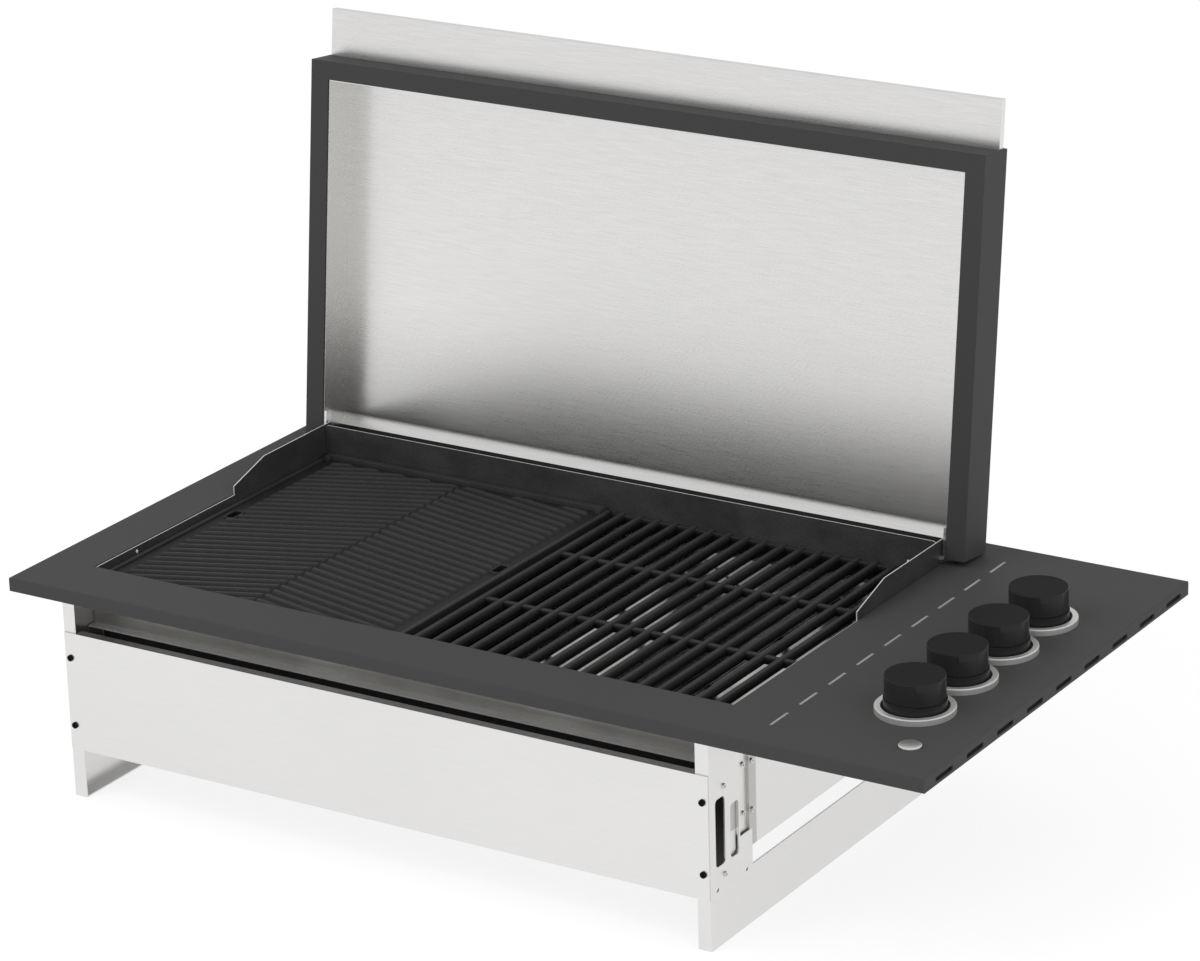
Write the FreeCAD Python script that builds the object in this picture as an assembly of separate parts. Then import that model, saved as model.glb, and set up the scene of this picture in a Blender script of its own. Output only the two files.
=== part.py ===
import FreeCAD, Part
import math
import os

from FreeCAD import Vector

# Built-in gas grill with an open flat lid, side controls and a drop-in body.
# Millimetres. X runs to the right, Y to the back, Z up.
# The origin is on the ground line of the side panels, under the middle of the
# overall width and depth.

# Fascia, the folded top sheet that rests on the bench
fascia_width = 1000.0
fascia_depth = 525.0
fascia_sheet = 2.0
flange_height = 14.0
fascia_bend = 1.5

# Body below the fascia, set in from the fascia's edges
body_height = 223.0
body_left_inset = 53.2
body_right_inset = 224.2
body_front = 13.4
body_rear_inset = 20.6
side_sheet = 1.5
panel_sheet = 1.2
post_width = 13.9
rear_post = 8.0

# Front and rear panels, measured down from the fascia's top
front_panel_top = 50.6
front_panel_bottom = 172.4
front_panel_inset = 0.5
panel_return = 8.5
rear_panel_top = 30.0

# Side panel window, slots and cabinet fixing holes, from the fascia's front edge and top
window_front = 66.5
window_foot_front = 88.0
window_top = 32.0
window_foot_top = 130.0
window_bottom = 165.6
wide_slot_centre = 31.9
wide_slot_width = 16.4
wide_slot_top = 78.4
wide_slot_bottom = 144.4
narrow_slot_centre = 56.9
narrow_slot_width = 14.6
narrow_slot_top = 92.0
narrow_slot_bottom = 144.8
slot_corner = 4.0
fixing_hole_radius = 2.4
fixing_hole_first = 25.4
fixing_hole_pitch = 51.5
fixing_hole_drop = 166.0

# Firebox of stainless sheets
firebox_sheet = 1.2
fit_gap = 0.2
firebox_front_y = 58.0
firebox_lip = 10.7
firebox_step = 10.8
firebox_step_drop = 57.0
firebox_bottom = 151.0
firebox_skirt = 18.0
firebox_side_bottom = 148.0
strip_front = 46.0
strip_length = 31.0
strip_bottom = 146.0
hem_start = 83.0
hem_width = 12.0
plate_ledge = 16.8
side_ledge = 8.0
tamer_ledge = 10.0
tray_ledge = 11.0

# Splash guards round the cooking area
guard_sheet = 1.2
guard_gap = 0.5
guard_height = 24.0
guard_low_drop = 1.0
guard_high_length = 160.2
guard_step_height = 8.3
guard_slope_length = 53.5
guard_corner = 5.0
ear_margin = 5.0
ear_lift = 0.5

# Cooking area
opening_front = 62.7
plate_drop = 8.0
plate_depth = 18.0
plate_gap = 1.0
hotplate_split = 8.2
grate_split = 1.2
plate_front_gap = 3.5

# Hotplate casting
hotplate_rim = 5.5
hotplate_floor = 6.0
hotplate_groove = 3.0
rib_side_margin = 17.4
rib_front_margin = 12.0
rib_rear_margin = 3.0
rib_middle_gap = 2.0
rib_base = 7.0
rib_top = 4.0
rib_spacing = 13.1
rib_angle_left = 22.0
rib_angle_right = -12.5
grease_bar_width = 7.0
grease_bar_height = 3.6
grease_bar_inset = 0.5
lift_slot_length = 17.0
lift_slot_width = 8.5
lift_slot_corner = 3.0
lift_slot_left_inset = 18.0
lift_slot_right_inset = 12.5
lift_slot_share = 0.513

# Grill grate casting
bar_count = 18
bar_depth = 8.5
bar_top = 7.6
bar_foot = 5.2
bar_edge = 1.2
cross_bar_width = 6.0
cross_bar_drop = 1.8
cross_bar_first_share = 0.34
cross_bar_second_share = 0.691
end_bar_width = 4.0

# Flame tamers and burners
burner_count = 4
tamer_half_width = 55.0
tamer_foot = 7.0
tamer_sheet = 1.2
tamer_apex_drop = 38.0
tamer_foot_drop = 66.0
tamer_end_gap = 2.0
burner_radius = 14.0
burner_wall = 1.2
burner_drop = 98.0
burner_front_gap = 1.0
burner_tail = 5.0
burner_stud_radius = 3.0
burner_stud_reach = 3.0
port_count = 12
port_width = 2.0
port_height = 3.0
port_margin = 40.0

# Drip tray
tray_height = 20.0
tray_sheet = 1.0
tray_side_gap = 6.0
tray_end_gap = 3.0

# Vents in the fascia
top_vent_count = 9
top_vent_inset = 174.7
top_vent_front = 38.9
top_vent_rear = 38.0
top_vent_length = 30.5
top_vent_width = 2.6
side_vent_count = 9
side_vent_front = 36.2
side_vent_rear = 32.0
side_vent_length = 31.0
side_vent_height = 5.0
side_vent_drop = 9.0
side_vent_corner = 1.8

# Control shield under the fascia
shield_sheet = 1.2
shield_flange_front = 24.0
shield_wall_front = 80.0
shield_wall_depth = 50.0
shield_flange_inner = 9.0
shield_flange_outer = 16.0
shield_rear_gap = 25.0

# Baffle behind the side vents
baffle_sheet = 1.0
baffle_gap = 1.0
baffle_flange = 10.0
baffle_drop = 13.5
baffle_end_gap = 12.0

# Knobs, stems, valves and bezels
knob_count = 4
knob_inset = 78.0
knob_first = 128.0
knob_pitch = 79.8
knob_skirt_radius = 28.9
knob_cap_radius = 27.9
knob_bottom = 4.4
knob_seam = 13.5
knob_top = 35.5
knob_edge = 1.4
knob_pointer_from = -62.0
knob_pointer_width = 54.0
knob_travel = 3.0
bezel_outer_radius = 37.0
bezel_inner_radius = 31.0
bezel_height = 6.0
bezel_edge = 1.2
stem_radius = 4.0
stem_in_knob = 20.0
stem_in_plug = 18.0
stem_hole_radius = 7.0
running_gap = 0.05
plug_radius = 8.0
plug_top = 14.0
plug_height = 28.0
valve_radius = 14.0
valve_collar_radius = 17.0
valve_collar_height = 6.0
valve_floor = 5.0
valve_port_drop = 34.0
valve_port_radius = 5.0

# Gas supply
manifold_offset = 30.0
manifold_radius = 10.0
manifold_bore = 7.5
manifold_front_reach = 24.0
manifold_rear_gap = 47.6
inlet_thread_radius = 10.48
inlet_thread_length = 14.0
tube_radius = 3.0
tube_bend = 7.0
tube_lane_inset = 146.0
tube_lane_pitch = 12.0
tube_rear_gap = 12.5
tube_run_pitch = 7.2
injector_radius = 5.0
injector_length = 9.0
injector_entry = 4.0

# Igniter
igniter_inset = 44.0
igniter_y = 55.5
button_radius = 10.7
button_gap = 0.4
button_rise = 1.6
button_dome = 1.2
button_skirt = 8.0
button_stem_radius = 4.0
button_stem_length = 12.0
button_travel = 3.0
igniter_wall = 2.5
igniter_flange = 3.0
igniter_floor = 5.0

# Lid, measured upright: depth runs back from its face, height from its lower edge
lid_side_reach = 23.4
lid_depth = 44.0
lid_lean = 6.2
lid_sheet = 1.5
lid_side_border = 20.8
lid_top_border = 18.9
lid_overlap = 3.0
lid_rim_gap = 1.0
liner_sheet = 1.2
liner_depth = 40.0
liner_bend = 21.0
liner_flange = 10.0
cover_sheet = 1.5
handle_sheet = 1.5
handle_side_gap = 2.2
handle_front = 32.0
handle_fold = 8.0
handle_rise = 48.0
handle_root = 16.0
handle_slot_gap = 0.3

# Hinges
hinge_rear_inset = 68.9
hinge_height = 4.5
hinge_below_edge = 1.4
hinge_pin_radius = 2.5
hinge_plate_sheet = 2.5
hinge_plate_round = 4.0
hinge_plate_width = 9.0
hinge_plate_reach = 30.0
hinge_bush_radius = 4.0
hinge_head_height = 1.5
hinge_side_gap = 0.3
ear_notch_gap = 1.0

# Screws
front_screw_inset = 6.5
front_screw_top = 76.7
front_screw_pitch = 70.5
front_screw_head = 3.2
side_screw_head = 2.6
side_screw_y = 39.0
side_screw_top = 69.4
side_screw_below_slot = 11.4
strip_screw_y = 76.5
hem_screw_y = 88.5
strip_screw_top = 63.7
strip_screw_bottom = 111.8
screw_head_height = 1.5
screw_shank = 1.9
screw_hole_gap = 0.1
screw_length = 7.0
recess_share = 0.7
recess_width = 0.8
recess_depth = 0.7

# How far a cutting shape runs past the surface that it cuts
overcut = 1.0

# Places worked out from the sizes above
body_width = fascia_width - body_left_inset - body_right_inset
body_depth = fascia_depth - body_front - body_rear_inset
lid_width = body_width + 2 * lid_side_reach
hinge_behind_face = hinge_height - lid_rim_gap
hinge_back = fascia_depth - hinge_rear_inset
lid_height = hinge_back - hinge_below_edge - opening_front + lid_overlap
lean = math.radians(lid_lean)
handle_top = lid_height + handle_rise
handle_back = handle_front + handle_fold


def lid_reach(depth, height):
    """Distance behind the fascia's front edge of a point of the open lid."""
    above_hinge = height + hinge_below_edge
    behind_hinge = depth - hinge_behind_face
    return hinge_back + above_hinge * math.sin(lean) + behind_hinge * math.cos(lean)


overall_depth = max(fascia_depth, lid_reach(lid_depth, lid_height), lid_reach(handle_back, handle_top))
left = -fascia_width / 2
right = fascia_width / 2
front = -overall_depth / 2
top = body_height
under = top - fascia_sheet
cook_x = left + body_left_inset + body_width / 2
half_body = body_width / 2
half_inner = half_body - side_sheet
half_firebox = half_inner - firebox_sheet
half_guard = half_firebox - guard_sheet
half_opening = half_firebox + guard_gap
post_y = front + body_front
rear_y = post_y + body_depth
hinge_y = front + hinge_back
hinge_z = top + hinge_height
lid_face_y = hinge_y - hinge_behind_face
lid_edge_z = hinge_z + hinge_below_edge
lid_left = cook_x - lid_width / 2
lid_right = cook_x + lid_width / 2
wall_below_hinge = hinge_below_edge + lid_sheet + liner_sheet
guard_back_y = hinge_y - math.hypot(hinge_behind_face, wall_below_hinge) - guard_gap
opening_front_y = front + opening_front
opening_rear_y = guard_back_y + guard_gap
guard_front_y = opening_front_y + guard_gap
guard_face_y = guard_back_y - guard_sheet
plate_top = top - plate_drop
plate_bottom = plate_top - plate_depth
plate_front_y = opening_front_y + plate_front_gap
plate_rear_y = guard_face_y - plate_gap
plate_outer = half_guard - plate_gap
box_face_y = front + firebox_front_y
box_inner_y = box_face_y + firebox_sheet
box_low_y = box_inner_y + firebox_step
box_rear_y = opening_rear_y
box_top = under - fit_gap
tray_seat = top - firebox_bottom + firebox_sheet
tamer_seat = top - tamer_foot_drop
burner_z = top - burner_drop
burner_pitch = 2 * half_firebox / burner_count
valve_port_z = top - valve_port_drop
knob_x = right - knob_inset
igniter_x = right - igniter_inset
top_vent_x = right - top_vent_inset
top_vent_pitch = (fascia_depth - top_vent_front - top_vent_rear - top_vent_length) / (top_vent_count - 1)
side_vent_pitch = (fascia_depth - side_vent_front - side_vent_rear) / (side_vent_count - 1)
manifold_x = knob_x + manifold_offset
plug_floor = plug_top + plug_height
valve_bottom = plug_floor + valve_floor
burner_end_y = box_rear_y + firebox_sheet + burner_tail


def block(x0, x1, y0, y1, z0, z1):
    """Box between two corners."""
    return Part.makeBox(x1 - x0, y1 - y0, z1 - z0, Vector(x0, y0, z0))


def rod(radius, start, end):
    """Round bar between two points."""
    run = end - start
    return Part.makeCylinder(radius, run.Length, start, run)


def prism(points, run):
    """Straight solid from a closed outline and a run."""
    return Part.Face(Part.makePolygon(points + [points[0]])).extrude(run)


def mirrored(shape, side):
    """The right-hand shape itself, or its left-hand twin about the cooking area's middle."""
    if side > 0:
        return shape
    return shape.mirror(Vector(cook_x, 0, 0), Vector(1, 0, 0))


def rounded_along(shape, axis, radius):
    """Round the four edges of a block that run along an axis."""
    edges = []
    for edge in shape.Edges:
        run = edge.Vertexes[1].Point - edge.Vertexes[0].Point
        if abs(run.normalize().dot(axis)) > 0.999:
            edges.append(edge)
    return shape.makeFillet(radius, edges)


def screw(seat, outward, head_radius):
    """Flat-topped screw with a cross recess, its head seated on a sheet."""
    crown = seat + outward * screw_head_height
    body = rod(head_radius, seat, crown)
    body = body.fuse(rod(screw_shank, seat, seat - outward * screw_length))
    across = Vector(0, 0, 1)
    side = outward.cross(across)
    for one, other in ((across, side), (side, across)):
        half_recess = one * head_radius * recess_share
        corner = crown - half_recess - other * recess_width / 2 - outward * recess_depth
        long_edge = half_recess * 2
        outline = [corner, corner + long_edge, corner + long_edge + other * recess_width]
        outline.append(corner + other * recess_width)
        body = body.cut(prism(outline, outward * recess_depth * 2))
    return body


def screw_hole(seat, outward):
    """Clearance hole along a screw's shank."""
    return rod(screw_shank + screw_hole_gap, seat + outward * screw_length, seat - outward * screw_length)


def front_screw_seats():
    """Seats of the black screws that hold the front panel to the posts."""
    seats = []
    for side in (-1, 1):
        for step in (0, 1):
            x = cook_x + side * (half_body - front_screw_inset)
            z = top - front_screw_top - step * front_screw_pitch
            seats.append(Vector(x, post_y - panel_sheet, z))
    return seats


def side_screw_seats():
    """Seats of the right-hand side screws: panel screws, strip screws and hem screws."""
    seats = []
    for drop in (side_screw_top, wide_slot_bottom + side_screw_below_slot):
        seats.append(Vector(cook_x + half_body, front + side_screw_y, top - drop))
    for drop in (strip_screw_top, strip_screw_bottom):
        seats.append(Vector(cook_x + half_firebox, front + strip_screw_y, top - drop))
        seats.append(Vector(cook_x + half_body, front + hem_screw_y, top - drop))
    return seats


def cut_side_screws(shape):
    """Cut the side screws' holes from a right-hand sheet."""
    for seat in side_screw_seats():
        shape = shape.cut(screw_hole(seat, Vector(1, 0, 0)))
    return shape


def knob_centre(number, z):
    return Vector(knob_x, front + knob_first + number * knob_pitch, z)


def burner_x(number):
    return cook_x - half_firebox + (number + 0.5) * burner_pitch


def make_fascia():
    """Folded tray, open below, with the cooking opening, control holes and vents."""
    rear = front + fascia_depth
    sheet = block(left, right, front, rear, top - flange_height, top)
    top_edges = [edge for edge in sheet.Edges if min(v.Z for v in edge.Vertexes) > top - fascia_sheet]
    sheet = sheet.makeFillet(fascia_bend, top_edges)
    inside = block(left + fascia_sheet, right - fascia_sheet, front + fascia_sheet, rear - fascia_sheet,
                   top - 2 * flange_height, under)
    sheet = sheet.cut(inside)
    opening = block(cook_x - half_opening, cook_x + half_opening, opening_front_y, opening_rear_y,
                    top - 2 * flange_height, top + flange_height)
    cuts = [opening]
    for number in range(knob_count):
        centre = knob_centre(number, top)
        hole_top = centre + Vector(0, 0, overcut)
        cuts.append(rod(stem_hole_radius, centre - Vector(0, 0, flange_height), hole_top))
    button = Vector(igniter_x, front + igniter_y, top)
    hole_radius = button_radius + button_gap
    cuts.append(rod(hole_radius, button - Vector(0, 0, flange_height), button + Vector(0, 0, overcut)))
    vent_left = top_vent_x - top_vent_width / 2
    for number in range(top_vent_count):
        y = front + top_vent_front + number * top_vent_pitch
        cuts.append(block(vent_left, vent_left + top_vent_width, y, y + top_vent_length,
                          under - overcut, top + overcut))
    vent_z = top - side_vent_drop
    for number in range(side_vent_count):
        y = front + side_vent_front + number * side_vent_pitch
        vent = block(right - 2 * fascia_sheet, right + overcut, y - side_vent_length / 2,
                     y + side_vent_length / 2, vent_z - side_vent_height / 2, vent_z + side_vent_height / 2)
        cuts.append(rounded_along(vent, Vector(1, 0, 0), side_vent_corner))
    return sheet.cut(cuts)


def side_slot(centre, width, slot_top, slot_bottom):
    """Rounded slot through the right-hand side panel."""
    x = cook_x + half_body
    middle = front + centre
    slot = block(x - post_width, x + overcut, middle - width / 2, middle + width / 2,
                 top - slot_bottom, top - slot_top)
    return rounded_along(slot, Vector(1, 0, 0), slot_corner)


def make_side_panel(side):
    """Side sheet with a stepped window, slots, and flanges at the front, the rear and the foot."""
    outer = cook_x + half_body
    inner = cook_x + half_inner
    sheet = block(inner, outer, post_y, rear_y, 0, under)
    corners = [(window_front, window_top), (window_front, window_foot_top)]
    corners += [(window_foot_front, window_foot_top), (window_foot_front, window_bottom)]
    outline = [Vector(inner - overcut, front + y, top - drop) for y, drop in corners]
    outline.append(Vector(inner - overcut, rear_y - rear_post, top - window_bottom))
    outline.append(Vector(inner - overcut, rear_y - rear_post, top - window_top))
    window = prism(outline, Vector(side_sheet + 2 * overcut, 0, 0))
    sheet = sheet.cut(window)
    sheet = sheet.fuse(block(outer - post_width, inner, post_y, post_y + side_sheet, 0, under))
    sheet = sheet.fuse(block(outer - post_width, inner, rear_y - side_sheet, rear_y, 0, under))
    sheet = sheet.fuse(block(outer - post_width, inner, post_y, rear_y, 0, side_sheet))
    cuts = [side_slot(wide_slot_centre, wide_slot_width, wide_slot_top, wide_slot_bottom)]
    cuts.append(side_slot(narrow_slot_centre, narrow_slot_width, narrow_slot_top, narrow_slot_bottom))
    for number in range(2):
        y = front + fixing_hole_first + number * fixing_hole_pitch
        z = top - fixing_hole_drop
        cuts.append(rod(fixing_hole_radius, Vector(inner - overcut, y, z), Vector(outer + overcut, y, z)))
    sheet = cut_side_screws(sheet.cut(cuts).removeSplitter())
    sheet = mirrored(sheet, side)
    for seat in front_screw_seats():
        sheet = sheet.cut(screw_hole(seat, Vector(0, -1, 0)))
    return sheet


def make_front_panel():
    """Front cover across both posts, with returns at its top and bottom."""
    half = half_body - front_panel_inset
    z0 = top - front_panel_bottom
    z1 = top - front_panel_top
    half_return = half_body - post_width - front_panel_inset
    sheet = block(cook_x - half, cook_x + half, post_y - panel_sheet, post_y, z0, z1)
    for z in (z0, z1 - panel_sheet):
        sheet = sheet.fuse(block(cook_x - half_return, cook_x + half_return, post_y, post_y + panel_return,
                                 z, z + panel_sheet))
    for seat in front_screw_seats():
        sheet = sheet.cut(screw_hole(seat, Vector(0, -1, 0)))
    return sheet.removeSplitter()


def make_rear_panel():
    """Plain rear sheet on the rear posts."""
    half = half_body - front_panel_inset
    return block(cook_x - half, cook_x + half, rear_y, rear_y + panel_sheet,
                 top - front_panel_bottom, top - rear_panel_top)


def make_firebox_front():
    """Front wall with a lip, a step back, ledges, and strips returned along both sides."""
    x0 = cook_x - half_firebox
    x1 = cook_x + half_firebox
    step_z = top - firebox_step_drop
    sheet = block(x0, x1, box_face_y, box_inner_y, step_z, box_top)
    runs = [block(x0, x1, box_face_y - firebox_lip, box_low_y, step_z, step_z + firebox_sheet)]
    skirt_z = top - firebox_bottom - firebox_skirt
    runs.append(block(x0, x1, box_low_y - firebox_sheet, box_low_y, skirt_z, step_z))
    runs.append(block(x0, x1, box_inner_y, box_inner_y + plate_ledge, plate_bottom - firebox_sheet,
                      plate_bottom))
    runs.append(block(x0, x1, box_low_y, box_low_y + tamer_ledge, tamer_seat - firebox_sheet, tamer_seat))
    runs.append(block(x0, x1, box_low_y, box_low_y + tray_ledge, top - firebox_bottom, tray_seat))
    for x in (x0, x1 - firebox_sheet):
        runs.append(block(x, x + firebox_sheet, box_inner_y, box_inner_y + strip_length,
                          top - strip_bottom, plate_bottom))
        runs.append(block(x, x + firebox_sheet, front + strip_front, box_inner_y, top - strip_bottom, step_z))
    sheet = sheet.fuse(runs).removeSplitter()
    for number in range(burner_count):
        hole = Vector(burner_x(number), box_face_y, burner_z)
        sheet = sheet.cut(rod(burner_stud_radius + fit_gap, hole, hole + Vector(0, firebox_step * 2, 0)))
    sheet = cut_side_screws(sheet)
    return cut_side_screws(sheet.mirror(Vector(cook_x, 0, 0), Vector(1, 0, 0)))


def make_firebox_rear():
    """Rear wall with ledges and a hole for each burner."""
    x0 = cook_x - half_inner
    x1 = cook_x + half_inner
    y0 = box_rear_y
    y1 = box_rear_y + firebox_sheet
    z0 = top - firebox_bottom
    inside0 = cook_x - half_firebox
    inside1 = cook_x + half_firebox
    sheet = block(x0, x1, y0, y1, z0, box_top)
    runs = [block(inside0, inside1, y0 - tamer_ledge, y0, tamer_seat - firebox_sheet, tamer_seat)]
    runs.append(block(inside0, inside1, y0 - tray_ledge, y0, z0, tray_seat))
    runs.append(block(inside0, inside1, y0 - plate_ledge, y0, plate_bottom - firebox_sheet, plate_bottom))
    sheet = sheet.fuse(runs).removeSplitter()
    for number in range(burner_count):
        hole = Vector(burner_x(number), y0 - overcut, burner_z)
        hole_end = hole + Vector(0, firebox_sheet + 2 * overcut, 0)
        sheet = sheet.cut(rod(burner_radius + fit_gap, hole, hole_end))
    return sheet


def make_firebox_side(side):
    """Side sheet inside the side panel's window, with a hem in front and a plate ledge."""
    inner = cook_x + half_firebox
    outer = cook_x + half_inner
    y0 = front + hem_start
    z0 = top - firebox_side_bottom
    sheet = block(inner, outer, y0, box_rear_y, z0, box_top)
    hem = block(outer, cook_x + half_body, y0, y0 + hem_width, z0, top - window_top - fit_gap)
    below_window = block(inner, cook_x + half_body, front, y0 + hem_width, 0, top - window_foot_top + fit_gap)
    hem = hem.cut(below_window)
    ledge = block(inner - side_ledge, inner, box_inner_y + strip_length + fit_gap,
                  box_rear_y - plate_ledge - fit_gap, plate_bottom - firebox_sheet, plate_bottom)
    sheet = sheet.fuse([hem, ledge]).removeSplitter()
    return mirrored(cut_side_screws(sheet), side)


def make_guard_side(side):
    """Side splash guard that rises behind a slope and ends in the hinge ear."""
    outer = cook_x + half_firebox
    step_y = guard_back_y - guard_high_length
    ear_end = hinge_y + ear_margin
    outline = [(guard_front_y, plate_bottom), (guard_front_y, top - guard_low_drop)]
    outline += [(step_y, top - guard_low_drop), (step_y, top + guard_step_height)]
    outline += [(step_y + guard_slope_length, top + guard_height), (ear_end, top + guard_height)]
    outline += [(ear_end, top + ear_lift), (guard_back_y, top + ear_lift), (guard_back_y, plate_bottom)]
    points = [Vector(outer - guard_sheet, y, z) for y, z in outline]
    sheet = prism(points, Vector(guard_sheet, 0, 0))
    axis = Vector(outer, hinge_y, hinge_z)
    pin_start = axis - Vector(guard_sheet + overcut, 0, 0)
    sheet = sheet.cut(rod(hinge_pin_radius, pin_start, axis + Vector(overcut, 0, 0)))
    return mirrored(sheet, side)


def make_guard_rear():
    """Rear splash guard between the side guards."""
    z1 = top + guard_height
    sheet = block(cook_x - half_guard, cook_x + half_guard, guard_face_y, guard_back_y, plate_bottom, z1)
    corners = []
    for edge in sheet.Edges:
        upper = min(v.Z for v in edge.Vertexes) > z1 - guard_corner
        ends_apart = abs(edge.Vertexes[0].X - edge.Vertexes[1].X)
        if upper and ends_apart < guard_corner:
            corners.append(edge)
    return sheet.makeFillet(guard_corner, corners)


def rib_set(x0, x1, y0, y1, angle):
    """Slanted ribs of one half of the hotplate, trimmed to that half's pocket."""
    pocket = block(x0, x1, y0, y1, plate_top - 2 * hotplate_groove, plate_top)
    slope = math.tan(math.radians(angle))
    along = Vector(1, slope, 0).normalize()
    across = Vector(-along.y, along.x, 0)
    reach = (x1 - x0) * 2
    drop = abs(slope) * (x1 - x0)
    ribs = []
    y = y0 - drop + rib_spacing / 2
    while y < y1 + drop:
        foot = Vector(x0, y, plate_top - hotplate_groove) - along * reach / 2
        crest = foot + Vector(0, 0, hotplate_groove)
        outline = [foot - across * rib_base / 2, foot + across * rib_base / 2]
        outline += [crest + across * rib_top / 2, crest - across * rib_top / 2]
        rib = prism(outline, along * reach * 2).common(pocket)
        ribs.extend(rib.Solids)
        y += rib_spacing
    return ribs


def make_hotplate():
    """Cast hotplate: rim, chevron ribs, grease bar, hollow underside and lifting slots."""
    x0 = cook_x - plate_outer
    x1 = cook_x - hotplate_split
    y0 = plate_front_y
    y1 = plate_rear_y
    plate = block(x0, x1, y0, y1, plate_bottom, plate_top)
    inner_x0 = x0 + hotplate_rim
    inner_x1 = x1 - hotplate_rim
    bar_y = y1 - grease_bar_inset
    inner_y1 = bar_y - grease_bar_width
    floor_top = plate_top - hotplate_groove
    plate = plate.cut(block(inner_x0, inner_x1, y0 + hotplate_rim, inner_y1, floor_top,
                            plate_top + overcut))
    wall = hotplate_rim
    plate = plate.cut(block(x0 + wall, x1 - wall, y0 + wall, y1 - wall, plate_bottom - overcut,
                            floor_top - hotplate_floor))
    middle = (x0 + x1) / 2
    half_gap = rib_middle_gap / 2
    rib_y0 = y0 + rib_front_margin
    rib_y1 = inner_y1 - rib_rear_margin
    ribs = rib_set(x0 + rib_side_margin, middle - half_gap, rib_y0, rib_y1, rib_angle_left)
    ribs += rib_set(middle + half_gap, x1 - rib_side_margin, rib_y0, rib_y1, rib_angle_right)
    bar = block(inner_x0, inner_x1, inner_y1, bar_y, plate_top, plate_top + grease_bar_height)
    plate = plate.fuse(ribs + [bar]).removeSplitter()
    slot_y = y0 + (y1 - y0) * lift_slot_share
    for x in (x0 + lift_slot_left_inset, x1 - lift_slot_right_inset):
        slot = block(x - lift_slot_width / 2, x + lift_slot_width / 2, slot_y - lift_slot_length / 2,
                     slot_y + lift_slot_length / 2, plate_bottom, plate_top + overcut)
        plate = plate.cut(rounded_along(slot, Vector(0, 0, 1), lift_slot_corner))
    return plate


def make_grate():
    """Cast grate of tapered bars from front to back, joined by two cross bars and deep end bars."""
    x0 = cook_x + grate_split
    x1 = cook_x + plate_outer
    pitch = (x1 - x0 - bar_top) / (bar_count - 1)
    run = Vector(0, plate_rear_y - plate_front_y, 0)
    bar_bottom = plate_top - bar_depth
    bars = []
    for number in range(bar_count):
        x = x0 + bar_top / 2 + number * pitch
        half_top = bar_top / 2
        section = [(-bar_foot / 2, bar_bottom), (bar_foot / 2, bar_bottom)]
        section += [(half_top, plate_top - bar_edge), (half_top - bar_edge, plate_top)]
        section += [(bar_edge - half_top, plate_top), (-half_top, plate_top - bar_edge)]
        bars.append(prism([Vector(x + dx, plate_front_y, z) for dx, z in section], run))
    z1 = plate_top - cross_bar_drop
    first_x = x0 + bar_top / 2
    last_x = x1 - bar_top / 2
    for share in (cross_bar_first_share, cross_bar_second_share):
        middle = plate_front_y + run.y * share
        bars.append(block(first_x, last_x, middle - cross_bar_width / 2, middle + cross_bar_width / 2,
                          bar_bottom, z1))
    for y in (plate_front_y, plate_rear_y - end_bar_width):
        bars.append(block(first_x, last_x, y, y + end_bar_width, plate_bottom, z1))
    return bars[0].fuse(bars[1:]).removeSplitter()


def make_flame_tamer(number):
    """Bent sheet roof over one burner, resting on the tamer ledges."""
    x = burner_x(number)
    apex = top - tamer_apex_drop
    w = tamer_half_width
    bend = w - tamer_foot
    y0 = box_low_y + tamer_end_gap
    y1 = box_rear_y - tamer_end_gap
    section = [(-w, tamer_seat), (-bend, tamer_seat), (0, apex - tamer_sheet)]
    section += [(bend, tamer_seat), (w, tamer_seat)]
    section += [(w, tamer_seat + tamer_sheet), (bend, tamer_seat + tamer_sheet), (0, apex)]
    section += [(-bend, tamer_seat + tamer_sheet), (-w, tamer_seat + tamer_sheet)]
    return prism([Vector(x + dx, y0, z) for dx, z in section], Vector(0, y1 - y0, 0))


def make_burner(number):
    """Tube burner with ports, a locating stud in front and an open mouth behind."""
    x = burner_x(number)
    y0 = box_low_y + burner_front_gap
    start = Vector(x, y0, burner_z)
    end = Vector(x, burner_end_y, burner_z)
    tube = rod(burner_radius, start, end)
    bore_start = start + Vector(0, burner_wall, 0)
    tube = tube.cut(rod(burner_radius - burner_wall, bore_start, end + Vector(0, overcut, 0)))
    stud_end = start - Vector(0, burner_front_gap + firebox_sheet + burner_stud_reach, 0)
    tube = tube.fuse(rod(burner_stud_radius, start, stud_end))
    run = box_rear_y - y0 - 2 * port_margin
    ports = []
    for port in range(port_count):
        y = y0 + port_margin + run * port / (port_count - 1)
        ports.append(block(x - burner_radius, x + burner_radius, y - port_width / 2, y + port_width / 2,
                           burner_z - port_height / 2, burner_z + port_height / 2))
    return tube.cut(ports)


def make_drip_tray():
    """Shallow grease pan on the lowest ledges."""
    half = half_firebox - tray_side_gap
    y0 = box_low_y + tray_end_gap
    y1 = box_rear_y - tray_end_gap
    pan = block(cook_x - half, cook_x + half, y0, y1, tray_seat, tray_seat + tray_height)
    hollow = block(cook_x - half + tray_sheet, cook_x + half - tray_sheet, y0 + tray_sheet, y1 - tray_sheet,
                   tray_seat + tray_sheet, tray_seat + tray_height + overcut)
    return pan.cut(hollow)


def make_control_shield():
    """Angle under the top vents that keeps the firebox heat off the valves."""
    x0 = top_vent_x - shield_flange_inner
    x1 = top_vent_x + shield_flange_outer
    rear = front + fascia_depth - shield_rear_gap
    flange = block(x0, x1, front + shield_flange_front, rear, under - shield_sheet, under)
    wall = block(x0, x0 + shield_sheet, front + shield_wall_front, rear, top - shield_wall_depth,
                 under - shield_sheet)
    return flange.fuse(wall).removeSplitter()


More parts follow.
